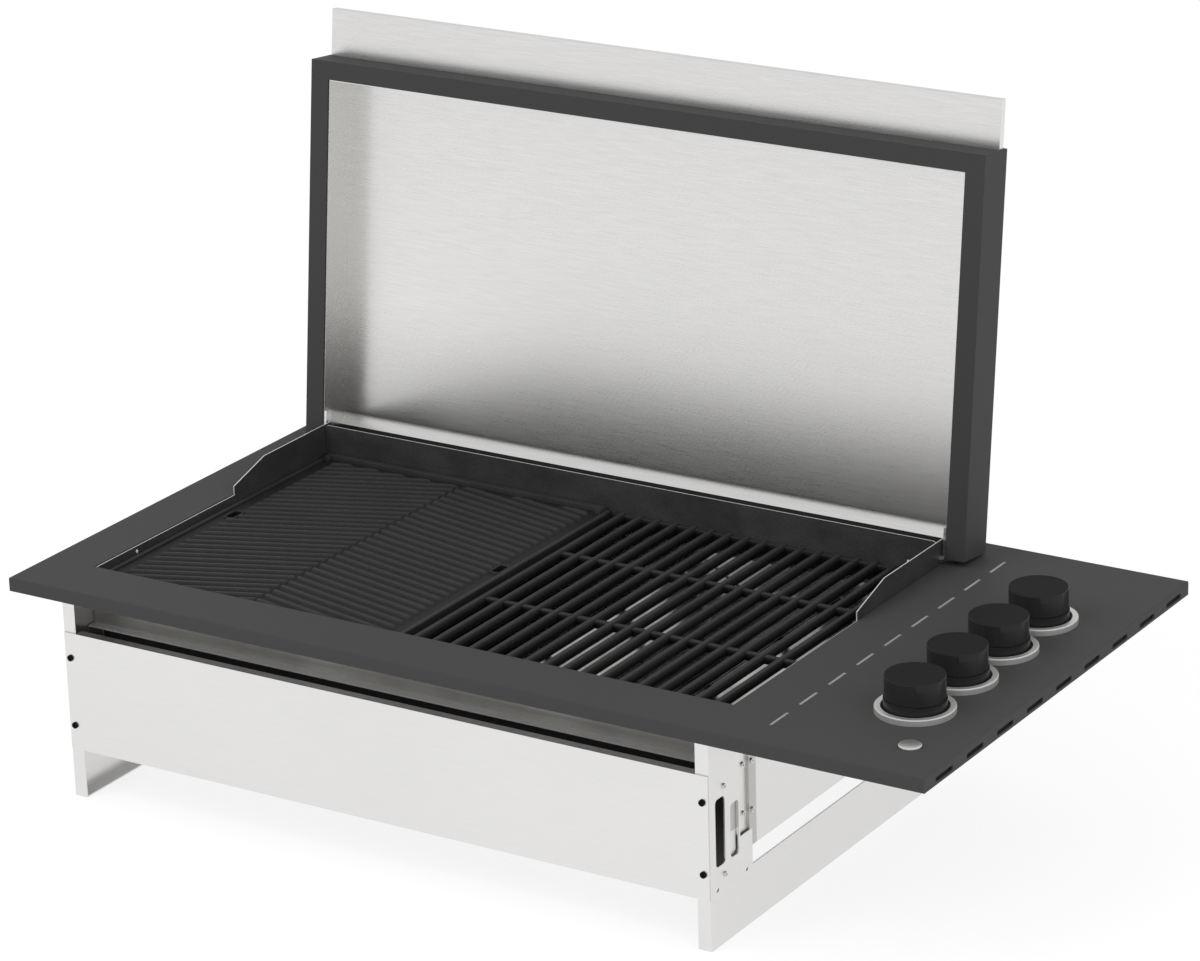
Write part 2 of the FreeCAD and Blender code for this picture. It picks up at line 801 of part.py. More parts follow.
def make_vent_baffle():
    """Angle behind the side vents that keeps spray and sight out of the control space."""
    x1 = right - fascia_sheet - baffle_gap
    y0 = front + baffle_end_gap
    y1 = front + fascia_depth - baffle_end_gap
    flange = block(x1 - baffle_flange, x1, y0, y1, under - baffle_sheet, under)
    wall = block(x1 - baffle_sheet, x1, y0, y1, top - baffle_drop, under - baffle_sheet)
    return flange.fuse(wall).removeSplitter()


def make_bezel(number):
    """Trim ring round one knob."""
    base = knob_centre(number, top)
    crown = base + Vector(0, 0, bezel_height)
    ring = rod(bezel_outer_radius, base, crown)
    ring = ring.cut(rod(bezel_inner_radius, base, crown))
    upper = [edge for edge in ring.Edges if edge.Closed and edge.BoundBox.ZMin > top + bezel_height / 2]
    return ring.makeFillet(bezel_edge, upper)


def make_knob(number):
    """Knob with a skirt, a slightly smaller cap, a flush pointer segment and a stem bore."""
    base = knob_centre(number, top + knob_bottom)
    seam = knob_centre(number, top + knob_seam)
    crown = knob_centre(number, top + knob_top)
    cap = rod(knob_cap_radius, seam, crown)
    rim = [edge for edge in cap.Edges if edge.BoundBox.ZMin > top + knob_top - knob_edge]
    cap = cap.makeFillet(knob_edge, rim)
    skirt = rod(knob_skirt_radius, base, seam)
    height = knob_top - knob_seam - 2 * knob_edge
    pointer = Part.makeCylinder(knob_skirt_radius, height, seam, Vector(0, 0, 1), knob_pointer_width)
    pointer.rotate(seam, Vector(0, 0, 1), knob_pointer_from)
    knob = skirt.fuse([cap, pointer]).removeSplitter()
    return knob.cut(rod(stem_radius, base, base + Vector(0, 0, stem_in_knob)))


def make_valve_stem(number):
    """Round stem from the knob's bore down into the valve plug."""
    stem_top = knob_centre(number, top + knob_bottom + stem_in_knob)
    return rod(stem_radius, knob_centre(number, top - plug_top - stem_in_plug), stem_top)


def make_valve_plug(number):
    """Turning plug inside the valve, bored for the sliding stem."""
    upper = knob_centre(number, top - plug_top)
    lower = knob_centre(number, top - plug_floor)
    bore_end = knob_centre(number, top - plug_top - stem_in_plug - knob_travel - overcut)
    plug = rod(plug_radius, lower, upper)
    return plug.cut(rod(stem_radius + running_gap, bore_end, upper))


def make_manifold():
    """Supply pipe beside the valves, closed in front, threaded at the rear."""
    start = Vector(manifold_x, front + knob_first - manifold_front_reach, valve_port_z)
    end = Vector(manifold_x, front + fascia_depth - manifold_rear_gap, valve_port_z)
    inlet = end + Vector(0, inlet_thread_length, 0)
    pipe = rod(manifold_radius, start, end).fuse(rod(inlet_thread_radius, end, inlet))
    return pipe.cut(rod(manifold_bore, start + Vector(0, manifold_radius - manifold_bore, 0), inlet))


def make_valve(number):
    """Valve body hung from the fascia, with an inlet port on the manifold."""
    seat = knob_centre(number, under)
    collar_end = knob_centre(number, under - valve_collar_height)
    bottom = knob_centre(number, top - valve_bottom)
    body = rod(valve_collar_radius, collar_end, seat).fuse(rod(valve_radius, bottom, seat))
    port = knob_centre(number, valve_port_z)
    body = body.fuse(rod(valve_port_radius, port, port + Vector(manifold_offset, 0, 0)))
    pipe_start = Vector(manifold_x, front, valve_port_z)
    body = body.cut(rod(manifold_radius, pipe_start, pipe_start + Vector(0, overall_depth, 0)))
    chamber_top = knob_centre(number, top - plug_top + fit_gap)
    chamber = rod(plug_radius + running_gap, knob_centre(number, top - plug_floor - fit_gap), chamber_top)
    neck = rod(stem_radius + 2 * fit_gap, chamber_top, seat)
    return body.cut([chamber, neck])


def tube_path(points):
    """Straight runs joined by tangent arcs, and the length along them."""
    edges = []
    length = 0.0
    start = points[0]
    for before, corner, after in zip(points, points[1:], points[2:]):
        to_corner = (corner - before).normalize()
        from_corner = (after - corner).normalize()
        arc_in = corner - to_corner * tube_bend
        arc_out = corner + from_corner * tube_bend
        middle = corner + (from_corner - to_corner) * tube_bend * (1 - math.sqrt(0.5))
        edges.append(Part.LineSegment(start, arc_in).toShape())
        edges.append(Part.Arc(arc_in, middle, arc_out).toShape())
        length += (arc_in - start).Length + tube_bend * math.pi / 2
        start = arc_out
    edges.append(Part.LineSegment(start, points[-1]).toShape())
    length += (points[-1] - start).Length
    return Part.Wire(edges), length


def make_gas_tube(number):
    """Tube from one valve round the rear of the firebox to its burner, ending in an injector."""
    centre = knob_centre(number, valve_port_z)
    lane = right - tube_lane_inset + number * tube_lane_pitch
    run_y = rear_y - tube_rear_gap - (knob_count - 1 - number) * tube_run_pitch
    x = burner_x(burner_count - 1 - number)
    injector_seat = burner_end_y - injector_entry + injector_length
    points = [centre - Vector(valve_radius, 0, 0), Vector(lane, centre.y, valve_port_z)]
    points += [Vector(lane, run_y, valve_port_z), Vector(lane, run_y, burner_z), Vector(x, run_y, burner_z)]
    points.append(Vector(x, injector_seat, burner_z))
    path, length = tube_path(points)
    profile = Part.Wire(Part.makeCircle(tube_radius, points[0], Vector(-1, 0, 0)))
    tube = path.makePipeShell([profile], True, False)
    print("gas tube", number + 1, "volume over section times length:",
          round(tube.Volume / (math.pi * tube_radius ** 2 * length), 5))
    injector = rod(injector_radius, points[-1], points[-1] - Vector(0, injector_length, 0))
    return tube.fuse(injector)


def make_igniter_body():
    """Cup under the fascia that guides the igniter button."""
    seat = Vector(igniter_x, front + igniter_y, under)
    bore = button_radius + button_gap
    depth = button_skirt + button_travel + fit_gap
    floor = seat - Vector(0, 0, depth)
    base = floor - Vector(0, 0, igniter_floor + button_stem_length)
    body = rod(bore + igniter_wall, base, seat)
    flange = seat - Vector(0, 0, igniter_flange)
    body = body.fuse(rod(bore + igniter_wall + igniter_flange, flange, seat))
    body = body.cut(rod(bore, floor, seat))
    return body.cut(rod(button_stem_radius + running_gap, base + Vector(0, 0, igniter_floor / 2), floor))


def make_igniter_button():
    """Domed push button with a guide stem."""
    rim = Vector(igniter_x, front + igniter_y, top + button_rise)
    foot = Vector(rim.x, rim.y, under - button_skirt)
    stem = foot - Vector(0, 0, button_stem_length - button_travel)
    button = rod(button_radius, foot, rim).fuse(rod(button_stem_radius, stem, foot))
    sphere_radius = (button_radius ** 2 + button_dome ** 2) / (2 * button_dome)
    ball = Part.makeSphere(sphere_radius, rim + Vector(0, 0, button_dome - sphere_radius))
    cap = rod(button_radius, rim, rim + Vector(0, 0, button_dome * 2)).common(ball)
    return button.fuse(cap).removeSplitter()


def leaned(shape):
    """Turn an upright lid piece back about the hinge line to its open rest."""
    shape.rotate(Vector(cook_x, hinge_y, hinge_z), Vector(1, 0, 0), -lid_lean)
    return shape


def lid_block(x0, x1, depth0, depth1, height0, height1):
    """Box in the lid's own depths and heights."""
    return block(x0, x1, lid_face_y + depth0, lid_face_y + depth1, lid_edge_z + height0, lid_edge_z + height1)


def ear_notches():
    """Room in the lid's lower walls for the guards' ears and the hinge plates."""
    reach = math.hypot(guard_height - hinge_height, ear_margin) + hinge_behind_face + ear_notch_gap
    notches = []
    for side in (-1, 1):
        outer = cook_x + side * (lid_width / 2 - lid_side_border - liner_sheet)
        inner = cook_x + side * (half_guard - hinge_head_height - ear_notch_gap)
        notches.append(lid_block(min(outer, inner), max(outer, inner), -overcut, reach, -overcut,
                                 lid_sheet + liner_sheet + overcut))
    return notches


def make_lid_tray():
    """Outer lid frame: border on three sides of the face, and walls all round."""
    frame = lid_block(lid_left, lid_right, 0, lid_depth, 0, lid_height)
    inside = lid_block(lid_left + lid_sheet, lid_right - lid_sheet, lid_sheet, lid_depth + overcut,
                       lid_sheet, lid_height - lid_sheet)
    face = lid_block(lid_left + lid_side_border, lid_right - lid_side_border, -overcut, lid_sheet + overcut,
                     lid_sheet, lid_height - lid_top_border)
    slot_inset = handle_side_gap - handle_slot_gap
    slot = lid_block(lid_left + slot_inset, lid_right - slot_inset, handle_front - handle_slot_gap,
                     handle_back + handle_slot_gap, lid_height - 2 * lid_sheet, lid_height + overcut)
    return leaned(frame.cut([inside, face, slot] + ear_notches()))


def pan_block(grow, depth0, depth1):
    """Block of the liner pan with a rounded lower bend, grown outwards by a wall."""
    x0 = lid_left + lid_side_border + liner_sheet - grow
    x1 = lid_right - lid_side_border - liner_sheet + grow
    low = lid_sheet + liner_sheet - grow
    high = lid_height - lid_top_border - liner_sheet + grow
    shape = lid_block(x0, x1, depth0, depth1, low, high)
    back_y = lid_face_y + depth1
    middle_z = lid_edge_z + (low + high) / 2
    edges = []
    for edge in shape.Edges:
        on_back = min(v.Y for v in edge.Vertexes) > back_y - liner_sheet
        lower = max(v.Z for v in edge.Vertexes) < middle_z
        if on_back and lower:
            edges.append(edge)
    return shape.makeFillet(liner_bend - liner_sheet + grow, edges)


def make_lid_liner():
    """Stainless inner pan with a rounded lower bend and a flange behind the lid's border."""
    pan = pan_block(liner_sheet, lid_sheet, liner_depth)
    x0 = lid_left + lid_side_border
    x1 = lid_right - lid_side_border
    flange = lid_block(x0 - liner_flange, x1 + liner_flange, lid_sheet, lid_sheet + liner_sheet,
                       lid_sheet, lid_height - lid_top_border + liner_flange)
    hollow = pan_block(0, lid_sheet - overcut, liner_depth - liner_sheet)
    return leaned(pan.fuse(flange).cut([hollow] + ear_notches()).removeSplitter())


def make_lid_cover():
    """Flat back sheet between the lid's walls."""
    return leaned(lid_block(lid_left + lid_sheet, lid_right - lid_sheet, lid_depth - cover_sheet, lid_depth,
                            lid_sheet, lid_height - lid_sheet))


def make_lid_handle():
    """Full-width folded lip above the lid, rooted behind its top border."""
    x0 = lid_left + handle_side_gap
    x1 = lid_right - handle_side_gap
    plate = lid_block(x0, x1, handle_front, handle_front + handle_sheet, lid_height - handle_root, handle_top)
    runs = [lid_block(x0, x1, handle_front, handle_back, handle_top - handle_sheet, handle_top)]
    for x in (x0, x1 - handle_sheet):
        runs.append(lid_block(x, x + handle_sheet, handle_front, handle_back, lid_height - handle_root,
                              handle_top))
    return leaned(plate.fuse(runs).removeSplitter())


def make_hinge_plates():
    """Plates inside the lid's lower corners that turn on the hinge pins."""
    outer = cook_x + lid_width / 2 - lid_side_border - liner_sheet
    inner = outer - hinge_plate_sheet
    plate = lid_block(inner, outer, lid_sheet, lid_sheet + hinge_plate_width, 0, hinge_plate_reach)
    eye_start = Vector(inner, hinge_y, hinge_z)
    eye_end = Vector(outer, hinge_y, hinge_z)
    plate = plate.fuse(rod(hinge_plate_round, eye_start, eye_end))
    plate = plate.cut(rod(hinge_pin_radius + running_gap, eye_start, eye_end)).removeSplitter()
    return Part.makeCompound([leaned(mirrored(plate, side)) for side in (-1, 1)])


def make_hinge_pins():
    """Shouldered pins riveted in the guards' ears."""
    guard_outer = cook_x + half_firebox
    guard_inner = cook_x + half_guard
    plate_outer_x = cook_x + lid_width / 2 - lid_side_border - liner_sheet
    plate_inner_x = plate_outer_x - hinge_plate_sheet
    head_x = guard_inner - hinge_head_height
    points = [Vector(x, hinge_y, hinge_z) for x in (head_x, guard_inner, guard_outer)]
    shoulder = Vector(plate_inner_x - hinge_side_gap, hinge_y, hinge_z)
    tip = Vector(plate_outer_x - hinge_side_gap, hinge_y, hinge_z)
    pin = rod(hinge_bush_radius, points[0], points[1])
    pin = pin.fuse([rod(hinge_pin_radius, points[0], tip), rod(hinge_bush_radius, points[2], shoulder)])
    pin = pin.removeSplitter()
    return Part.makeCompound([mirrored(pin, side) for side in (-1, 1)])


def make_front_screws():
    screws = [screw(seat, Vector(0, -1, 0), front_screw_head) for seat in front_screw_seats()]
    return Part.makeCompound(screws)


def make_side_screws():
    screws = [screw(seat, Vector(1, 0, 0), side_screw_head) for seat in side_screw_seats()]
    twins = [mirrored(piece, -1) for piece in screws]
    return Part.makeCompound(screws + twins)


parts = {
    "fascia": make_fascia(),
    "left_side_panel": make_side_panel(-1),
    "right_side_panel": make_side_panel(1),
    "front_panel": make_front_panel(),
    "rear_panel": make_rear_panel(),
    "firebox_front": make_firebox_front(),
    "firebox_rear": make_firebox_rear(),
    "firebox_left": make_firebox_side(-1),
    "firebox_right": make_firebox_side(1),
    "guard_left": make_guard_side(-1),
    "guard_right": make_guard_side(1),
    "guard_rear": make_guard_rear(),
    "hotplate": make_hotplate(),
    "grill_grate": make_grate(),
    "drip_tray": make_drip_tray(),
    "control_shield": make_control_shield(),
    "vent_baffle": make_vent_baffle(),
    "gas_manifold": make_manifold(),
    "igniter_body": make_igniter_body(),
    "igniter_button": make_igniter_button(),
    "lid_tray": make_lid_tray(),
    "lid_liner": make_lid_liner(),
    "lid_cover": make_lid_cover(),
    "lid_handle": make_lid_handle(),
    "hinge_plates": make_hinge_plates(),
    "hinge_pins": make_hinge_pins(),
    "front_screws": make_front_screws(),
    "side_screws": make_side_screws(),
}
for number in range(burner_count):
    parts["flame_tamer_%d" % (number + 1)] = make_flame_tamer(number)
    parts["burner_%d" % (number + 1)] = make_burner(number)
for number in range(knob_count):
    parts["bezel_%d" % (number + 1)] = make_bezel(number)
    parts["knob_%d" % (number + 1)] = make_knob(number)
    parts["valve_stem_%d" % (number + 1)] = make_valve_stem(number)
    parts["valve_plug_%d" % (number + 1)] = make_valve_plug(number)
    parts["gas_valve_%d" % (number + 1)] = make_valve(number)
    parts["gas_tube_%d" % (number + 1)] = make_gas_tube(number)

os.makedirs("parts", exist_ok=True)
for name, shape in parts.items():
    shape.exportStep("parts/%s.step" % name)
print(len(parts), "nodes")
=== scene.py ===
import math
from collections import namedtuple

import bmesh
import bpy
from bpy.props import FloatProperty, FloatVectorProperty, IntProperty, PointerProperty
from mathutils import Matrix, Vector


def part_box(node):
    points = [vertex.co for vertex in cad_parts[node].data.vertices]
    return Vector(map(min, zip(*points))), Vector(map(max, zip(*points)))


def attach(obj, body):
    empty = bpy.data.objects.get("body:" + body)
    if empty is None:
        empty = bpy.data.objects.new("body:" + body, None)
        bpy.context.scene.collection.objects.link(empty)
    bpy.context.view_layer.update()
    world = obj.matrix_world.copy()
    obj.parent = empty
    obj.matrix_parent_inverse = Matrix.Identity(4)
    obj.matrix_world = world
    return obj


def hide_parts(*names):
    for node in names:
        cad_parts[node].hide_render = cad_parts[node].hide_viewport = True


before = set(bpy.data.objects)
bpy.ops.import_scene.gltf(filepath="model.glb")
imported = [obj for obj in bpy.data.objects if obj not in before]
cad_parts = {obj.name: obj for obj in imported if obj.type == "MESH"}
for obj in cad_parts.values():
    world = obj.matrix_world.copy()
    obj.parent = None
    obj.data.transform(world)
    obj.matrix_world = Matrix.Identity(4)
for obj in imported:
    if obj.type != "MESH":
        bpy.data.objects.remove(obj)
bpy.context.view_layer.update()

bl_info = {
    "name": "Built-in gas grill",
    "version": (1, 0, 0),
    "blender": (4, 5, 0),
    "location": "View3D > Sidebar > Grill",
    "description": "Dresses the built-in gas grill's frame with finished pieces and materials",
    "category": "Object",
}

NUMBERS = (1, 2, 3, 4)
BUTTON_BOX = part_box("igniter_button")
FASCIA_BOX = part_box("fascia")
PLATE_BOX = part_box("hotplate")
GRATE_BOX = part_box("grill_grate")
FASCIA_FRONT = FASCIA_BOX[0].y
FASCIA_TOP = FASCIA_BOX[1].z
GRATE_TOP = GRATE_BOX[1].z
PAN_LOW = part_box("lid_liner")[0].z


# Fixed values: lengths in metres, angles in degrees

# Meshes and sheets
MERGE_DISTANCE = 0.00002  # vertices nearer than this become one
FLAT_ANGLE = 0.6  # faces bent by less become one
SHARP_ANGLE = 35.0  # edges bent by more are rounded
SMOOTH_ANGLE = 38.0  # faces bent by less are shaded as one
RIB_SMOOTH_ANGLE = 80.0
KNOB_SMOOTH_ANGLE = 32.0
FACING = 0.9  # part of a normal above which a face looks along an axis
VENT_WALL = 0.6  # upward part of a normal below which a face is a vent's wall
KNOB_WALL = 0.7  # the same for a knob's wall
NOISE_RANGE = (0.25, 0.75)  # where most values of a noise lie
GUARD_EDGE = 0.6  # rounding of the guards' edges, as a share of other sheets'
CROSS_BAR_EDGE = 0.6  # rounding of the cross bars' edges, as a share of the bars'
BAR_EDGE_STEPS = 3
RIVET_SEGMENTS, RIVET_RINGS = 24, 12
RIVET_SCALE = (0.7, 0.7, 1.0)
LIP_BELOW, LIP_ABOVE = 0.0003, 0.002  # reach of the firebox lip's face round its height

# Hotplate
RIB_FLANK = (0.36, 0.84)  # shares of the wave between which a rib's flank rises
RIB_MIDDLE_STEEPNESS = 3.0  # how much faster the ribs run out at the middle gap
FIELD_GRID = (181, 441)  # vertices of the ribbed field across and along
EDGE_MIDDLE = 0.3  # inset and drop of a rounding's middle point, as a share of its radius
BAR_CROWN = 0.9  # inset of a grease bar's top, as a share of its rounding
PLATE_EDGE = 0.0014  # rounding of the casting's upper edges
PLATE_FOOT = 0.0003  # chamfer of its lower edges
PLATE_SKIN = 0.006  # its thickness below the ribs
PLATE_CORNER, RIM_CORNER, FIELD_CORNER = 0.005, 0.004, 0.003
BAR_SINK, HOOK_OVERLAP, HOOK_DROP = 0.0005, 0.001, 0.0002  # how the rear bar and its ends meet the rim
MOUTH_WIDTH = 0.0025  # width of a lifting slot's raised mouth
MOUTH_STEPS = (0.8, 0.6)  # shares of that width at the mouth's shoulder and crown
MOUTH_EDGE = 0.0004  # its rounding
MOUTH_SINK, MOUTH_FOOT = 0.0002, 0.0058  # depth of its outer and its inner wall below the ribs' floor
MOUTH_MARGIN = 0.0001  # round the slot, to find the inner wall's faces
MOUTH_CORNER_STEPS = 6

# Turned parts; the small forms of a knob's profile are steps in radius and height
KNOB_FOOT = ((-0.0005, 0.0), (0.0, 0.0005))
KNOB_SKIRT_EDGE = ((0.0, -0.0004), (-0.0004, 0.0))
KNOB_SEAM_HEIGHT = 0.0006
KNOB_CAP_FOOT = ((-0.0002, 0.0007), (0.0, 0.001))
KNOB_CAP_SIDE = ((0.0, -0.006), (0.0, -0.003))
KNOB_TOP_EDGE, KNOB_DISH_EDGE = 0.0012, 0.0022
BEZEL_EDGE, BEZEL_INNER_EDGE = 0.0012, 0.6  # the inner as a share of the outer
BEZEL_SEGMENTS, BUTTON_SEGMENTS = 128, 96
BEZEL_MERGE_DISTANCE = 0.000001
BUTTON_STEM, BUTTON_STEM_HEIGHT = 0.004, 0.009
BUTTON_EDGE, BUTTON_EDGE_DROP = 0.001, 0.0016
BUTTON_RIM, BUTTON_RIM_DROP, BUTTON_DOME_DROP = 0.0022, 0.0003, 0.0001

# Camera
SENSOR_WIDTH = 36.0  # millimetres
CLIP_END = 100.0


# Values that a user may change

def number(name, description, default, **kind):
    return FloatProperty(name=name, description=description, default=default, **kind)


def length(name, description, default):
    return number(name, description, default, min=0.0, unit="LENGTH", precision=5)


def angle(name, description, degrees):
    return number(name, description, math.radians(degrees), subtype="ANGLE", unit="ROTATION")


def spot(name, description, default):
    return FloatVectorProperty(name=name, description=description, default=default, size=3,
                               subtype="TRANSLATION", unit="LENGTH")


def colour(name, description, default):
    return FloatVectorProperty(name=name, description=description, default=default, size=3, min=0.0,
                               max=1.0, subtype="COLOR")


class GrillSizes(bpy.types.PropertyGroup):
    """Sizes of the small forms that finish the grill."""
    sheet_edge: length("Sheet edge", "Rounding of cut sheet edges", 0.0003)
    fold_edge: length("Fold edge", "Rounding of folded outer edges", 0.0009)
    fascia_edge: length("Fascia edge", "Rounding of the fascia's edges", 0.00045)
    firebox_step_drop: length("Firebox step", "Depth of the firebox front's lip below the fascia", 0.057)
    firebox_band: length("Firebox band", "Depth of the firebox front's upper band", 0.058)
    firebox_strip: length("Firebox strip", "Thickness of the strips at the firebox front's ends", 0.0014)
    strip_foot: length("Strip foot", "Height at which the strips' painted shade ends", 0.102)
    strip_shade: length("Strip shade", "Depth of the strips' front in painted shade", 0.067)
    side_shade: length("Side shade", "Depth of the painted shade on the firebox sides' front", 0.0982)
    pan_foot: length("Pan foot", "Height of the dark foot at the lower bend of the lid's pan", 0.0066)
    pan_bend: length("Pan bend", "Height of the lower bend of the lid's pan", 0.0189)
    knob_segments: IntProperty(name="Knob segments", description="Steps round a knob", default=144, min=24)
    knob_seam: length("Knob seam", "Height of the seam above the fascia", 0.0135)
    knob_step: length("Knob step", "Step from the skirt in to the cap", 0.001)
    knob_groove: length("Knob groove", "Depth of the seam's groove", 0.0005)
    knob_edge: length("Knob edge", "Rounding of the cap's upper edge", 0.0014)
    knob_dish: length("Knob dish", "Hollow of the cap's top", 0.00012)
    pointer_from: angle("Pointer from", "Where the flush pointer segment starts", -62.0)
    pointer_width: angle("Pointer width", "How far the flush pointer segment runs", 54.0)
    bezel_wall: length("Bezel wall", "Width of the bezel's flat crown", 0.006)
    rib_spacing: length("Rib spacing", "Spacing of the hotplate's ribs along its depth", 0.0131)
    rib_height: length("Rib height", "Height of the ribs above the grooves", 0.0028)
    rib_angle_left: angle("Left rib angle", "Slant of the ribs in the left half", 22.0)
    rib_angle_right: angle("Right rib angle", "Slant of the ribs in the right half", -12.5)
    rib_side_margin: length("Rib side margin", "Plain width beside the ribs", 0.0174)
    rib_front_margin: length("Rib front margin", "Plain depth in front of the ribs", 0.012)
    rib_rear_margin: length("Rib rear margin", "Plain depth between the ribs and the rear bar", 0.003)
    rib_middle_gap: length("Rib middle gap", "Gap between the two halves of the ribs", 0.001)
    rib_end: length("Rib end", "Run-out of the ribs at their ends", 0.0022)
    plate_rim: length("Plate rim", "Width of the hotplate's raised rim", 0.0055)
    grease_bar_inset: length("Grease bar inset", "Distance of the rear bar from the plate's rear", 0.0005)
    grease_bar_width: length("Grease bar width", "Width of the rear bar", 0.007)
    grease_bar_height: length("Grease bar height", "Height of the rear bar above the rim", 0.0036)
    grease_hook: length("Grease bar hook", "Forward reach of the rear bar's ends", 0.013)
    lift_slot_length: length("Lifting slot length", "Length of the hotplate's lifting slots", 0.018)
    lift_slot_width: length("Lifting slot width", "Width of the hotplate's lifting slots", 0.0093)
    lift_slot_boss: length("Lifting slot boss", "Height of the slots' raised mouths", 0.002)
    lift_slot_corner: length("Lifting slot corner", "Rounding of the slots' corners", 0.003)
    lift_slot_left: length("Left slot inset", "Distance of the left slot from the plate's side", 0.018)
    lift_slot_right: length("Right slot inset", "Distance of the right slot from the plate's side", 0.0125)
    lift_slot_share: number("Lifting slot place", "Share of the plate's depth", 0.513)
    bar_count: IntProperty(name="Grate bars", description="Bars of the grate", default=18, min=2)
    bar_top: length("Bar top", "Width of a grate bar's upper part", 0.0076)
    bar_foot: length("Bar foot", "Width of a grate bar's foot", 0.0052)
    bar_depth: length("Bar depth", "Depth of a grate bar", 0.0095)
    bar_edge: length("Bar edge", "Rounding of a grate bar's edges", 0.0013)
    end_bar_width: length("End bar width", "Width of the grate's end bars", 0.004)
    cross_bar_width: length("Cross bar width", "Width of the grate's cross bars", 0.006)
    cross_bar_drop: length("Cross bar drop", "How far the cross bars lie below the bars' tops", 0.0018)
    cross_bar_first: number("First cross bar", "Share of the grate's depth", 0.34)
    cross_bar_second: number("Second cross bar", "Share of the grate's depth", 0.691)
    vent_inset: length("Vent inset", "Distance of the top vents from the fascia's right edge", 0.1747)
    vent_width: length("Vent width", "Width of a top vent", 0.0026)
    rivet_radius: length("Rivet radius", "Radius of a rivet's head", 0.0022)
    rivet_front: length("Rivet place", "Distance of the side rivets behind the fascia's front edge", 0.1275)
    rivet_drop: length("Rivet drop", "Depth of the side rivets below the fascia", 0.0064)
    rivet_rear_drop: length("Rear rivet drop", "Depth of the rear rivet below the fascia", 0.002)
    rivet_inset: length("Rivet inset", "Distance of the rear rivet from the right guard", 0.031)


class GrillColours(bpy.types.PropertyGroup):
    """Colours of the grill's finishes."""
    fascia: colour("Fascia coat", "Charcoal powder coat of the fascia", (0.076, 0.076, 0.0755))
    lid_frame: colour("Lid coat", "Charcoal powder coat of the lid", (0.067, 0.067, 0.0665))
    body_sheet: colour("Body sheet", "Satin sheet of the body", (0.77, 0.765, 0.755))
    stainless: colour("Stainless", "Brushed stainless sheet", (0.76, 0.753, 0.74))
    firebox: colour("Firebox sheet", "Heat-toned stainless of the firebox", (0.70, 0.68, 0.65))
    # Painted shade: a darker copy of the firebox steel for the shaded front of the firebox sides and strips
    side_shade: colour("Firebox side front", "Painted shade on the front of the firebox sides", (0.55, 0.535, 0.515))
    tamer: colour("Flame tamer sheet", "Bright stainless over the burners", (0.82, 0.81, 0.79))
    guard: colour("Guard enamel", "Dark enamel of the splash guards", (0.050, 0.050, 0.050))
    # Bare cut edges: their own bare metal, made near-white and mostly matt so that they also carry a painted
    # highlight
    bare_edge: colour("Bare edge", "Bare cut edges and rivets", (0.9, 0.89, 0.88))
    iron: colour("Cast iron", "Seasoned cast iron", (0.038, 0.038, 0.0378))
    knob: colour("Knob", "Black moulded knobs", (0.027, 0.027, 0.027))
    brass: colour("Brass", "Valve brass", (0.60, 0.43, 0.18))
    zinc: colour("Zinc", "Zinc-coated sheet", (0.66, 0.66, 0.65))
    pipe: colour("Pipe", "Grey gas pipe", (0.16, 0.16, 0.165))
    aluminium: colour("Aluminium", "Drawn tubes", (0.77, 0.77, 0.78))
    oxide: colour("Black oxide", "Black screws", (0.004, 0.004, 0.004))
    # Black: the igniter body's own black, and painted shade on the vent baffle, the pan's foot, the lifting
    # slots and the firebox's lower front
    black_and_painted_shade: colour("Black and painted shade", "Black coat and painted shade inside the body", (0.008, 0.008, 0.008))


class GrillStage(bpy.types.PropertyGroup):
    """Camera, floor and light of the stage."""
    camera_place: spot("Camera place", "Where the camera stands", (2.25544, -3.52062, 1.86120))
    camera_azimuth: angle("Camera azimuth", "Turn of the view round the grill", 32.570)
    camera_elevation: angle("Camera elevation", "How far the view looks down", 20.227)
    camera_roll: angle("Camera roll", "Turn of the picture", -1.614)
    camera_lens: number("Focal length", "In millimetres on a 36 mm sensor", 140.962)
    floor_size: length("Floor size", "Side of the floor", 40.0)
    floor_bounce: number("Floor bounce", "Tone of the floor for the light that it throws back", 0.8)
    floor_shade: number("Floor shade", "Tone of the floor that takes shadows in the picture", 0.32)
    floor_glow: number("Floor glow", "Own light of the floor in the picture", 0.81)
    key_place: spot("Key place", "Where the key light hangs", (-1.6, -2.6, 3.0))
    key_size: length("Key size", "Side of the key light", 2.6)
    key_power: number("Key power", "Power of the key light", 36.0, unit="POWER")
    fill_place: spot("Fill place", "Where the fill light hangs", (2.8, -0.6, 1.8))
    fill_size: length("Fill size", "Side of the fill light", 2.2)
    fill_power: number("Fill power", "Power of the fill light", 14.0, unit="POWER")
    aim: spot("Aim", "Point that the lights look at", (0.0, 0.0, 0.25))
    sky_level: number("Sky level", "Level of the even light", 0.72)


def sizes():
    return bpy.context.scene.grill_sizes


# Node helpers

def fill(tree, node, inputs):
    """Link a node's inputs to sockets or to other nodes' first outputs, or set them to values."""
    for key, value in inputs.items():
        if isinstance(value, bpy.types.Node):
            value = value.outputs[0]
        if isinstance(value, bpy.types.NodeSocket):
            tree.links.new(value, node.inputs[key])
        else:
            node.inputs[key].default_value = value


def add_node(tree, kind, inputs=None, **settings):
    """A node with its settings and its inputs."""
    node = tree.nodes.new(kind)
    for key, value in settings.items():
        setattr(node, key, value)
    fill(tree, node, inputs or {})
    return node


def maths(tree, operation, *values):
    """The result of a math node on sockets or numbers."""
    return add_node(tree, "ShaderNodeMath", dict(enumerate(values)), operation=operation).outputs[0]


def map_range(tree, value, old, new=(0.0, 1.0), kind="SMOOTHSTEP"):
    """A value moved from its old range to a new one."""
    return add_node(tree, "ShaderNodeMapRange", {
        "Value": value, "From Min": old[0], "From Max": old[1], "To Min": new[0], "To Max": new[1],
    }, interpolation_type=kind).outputs[0]


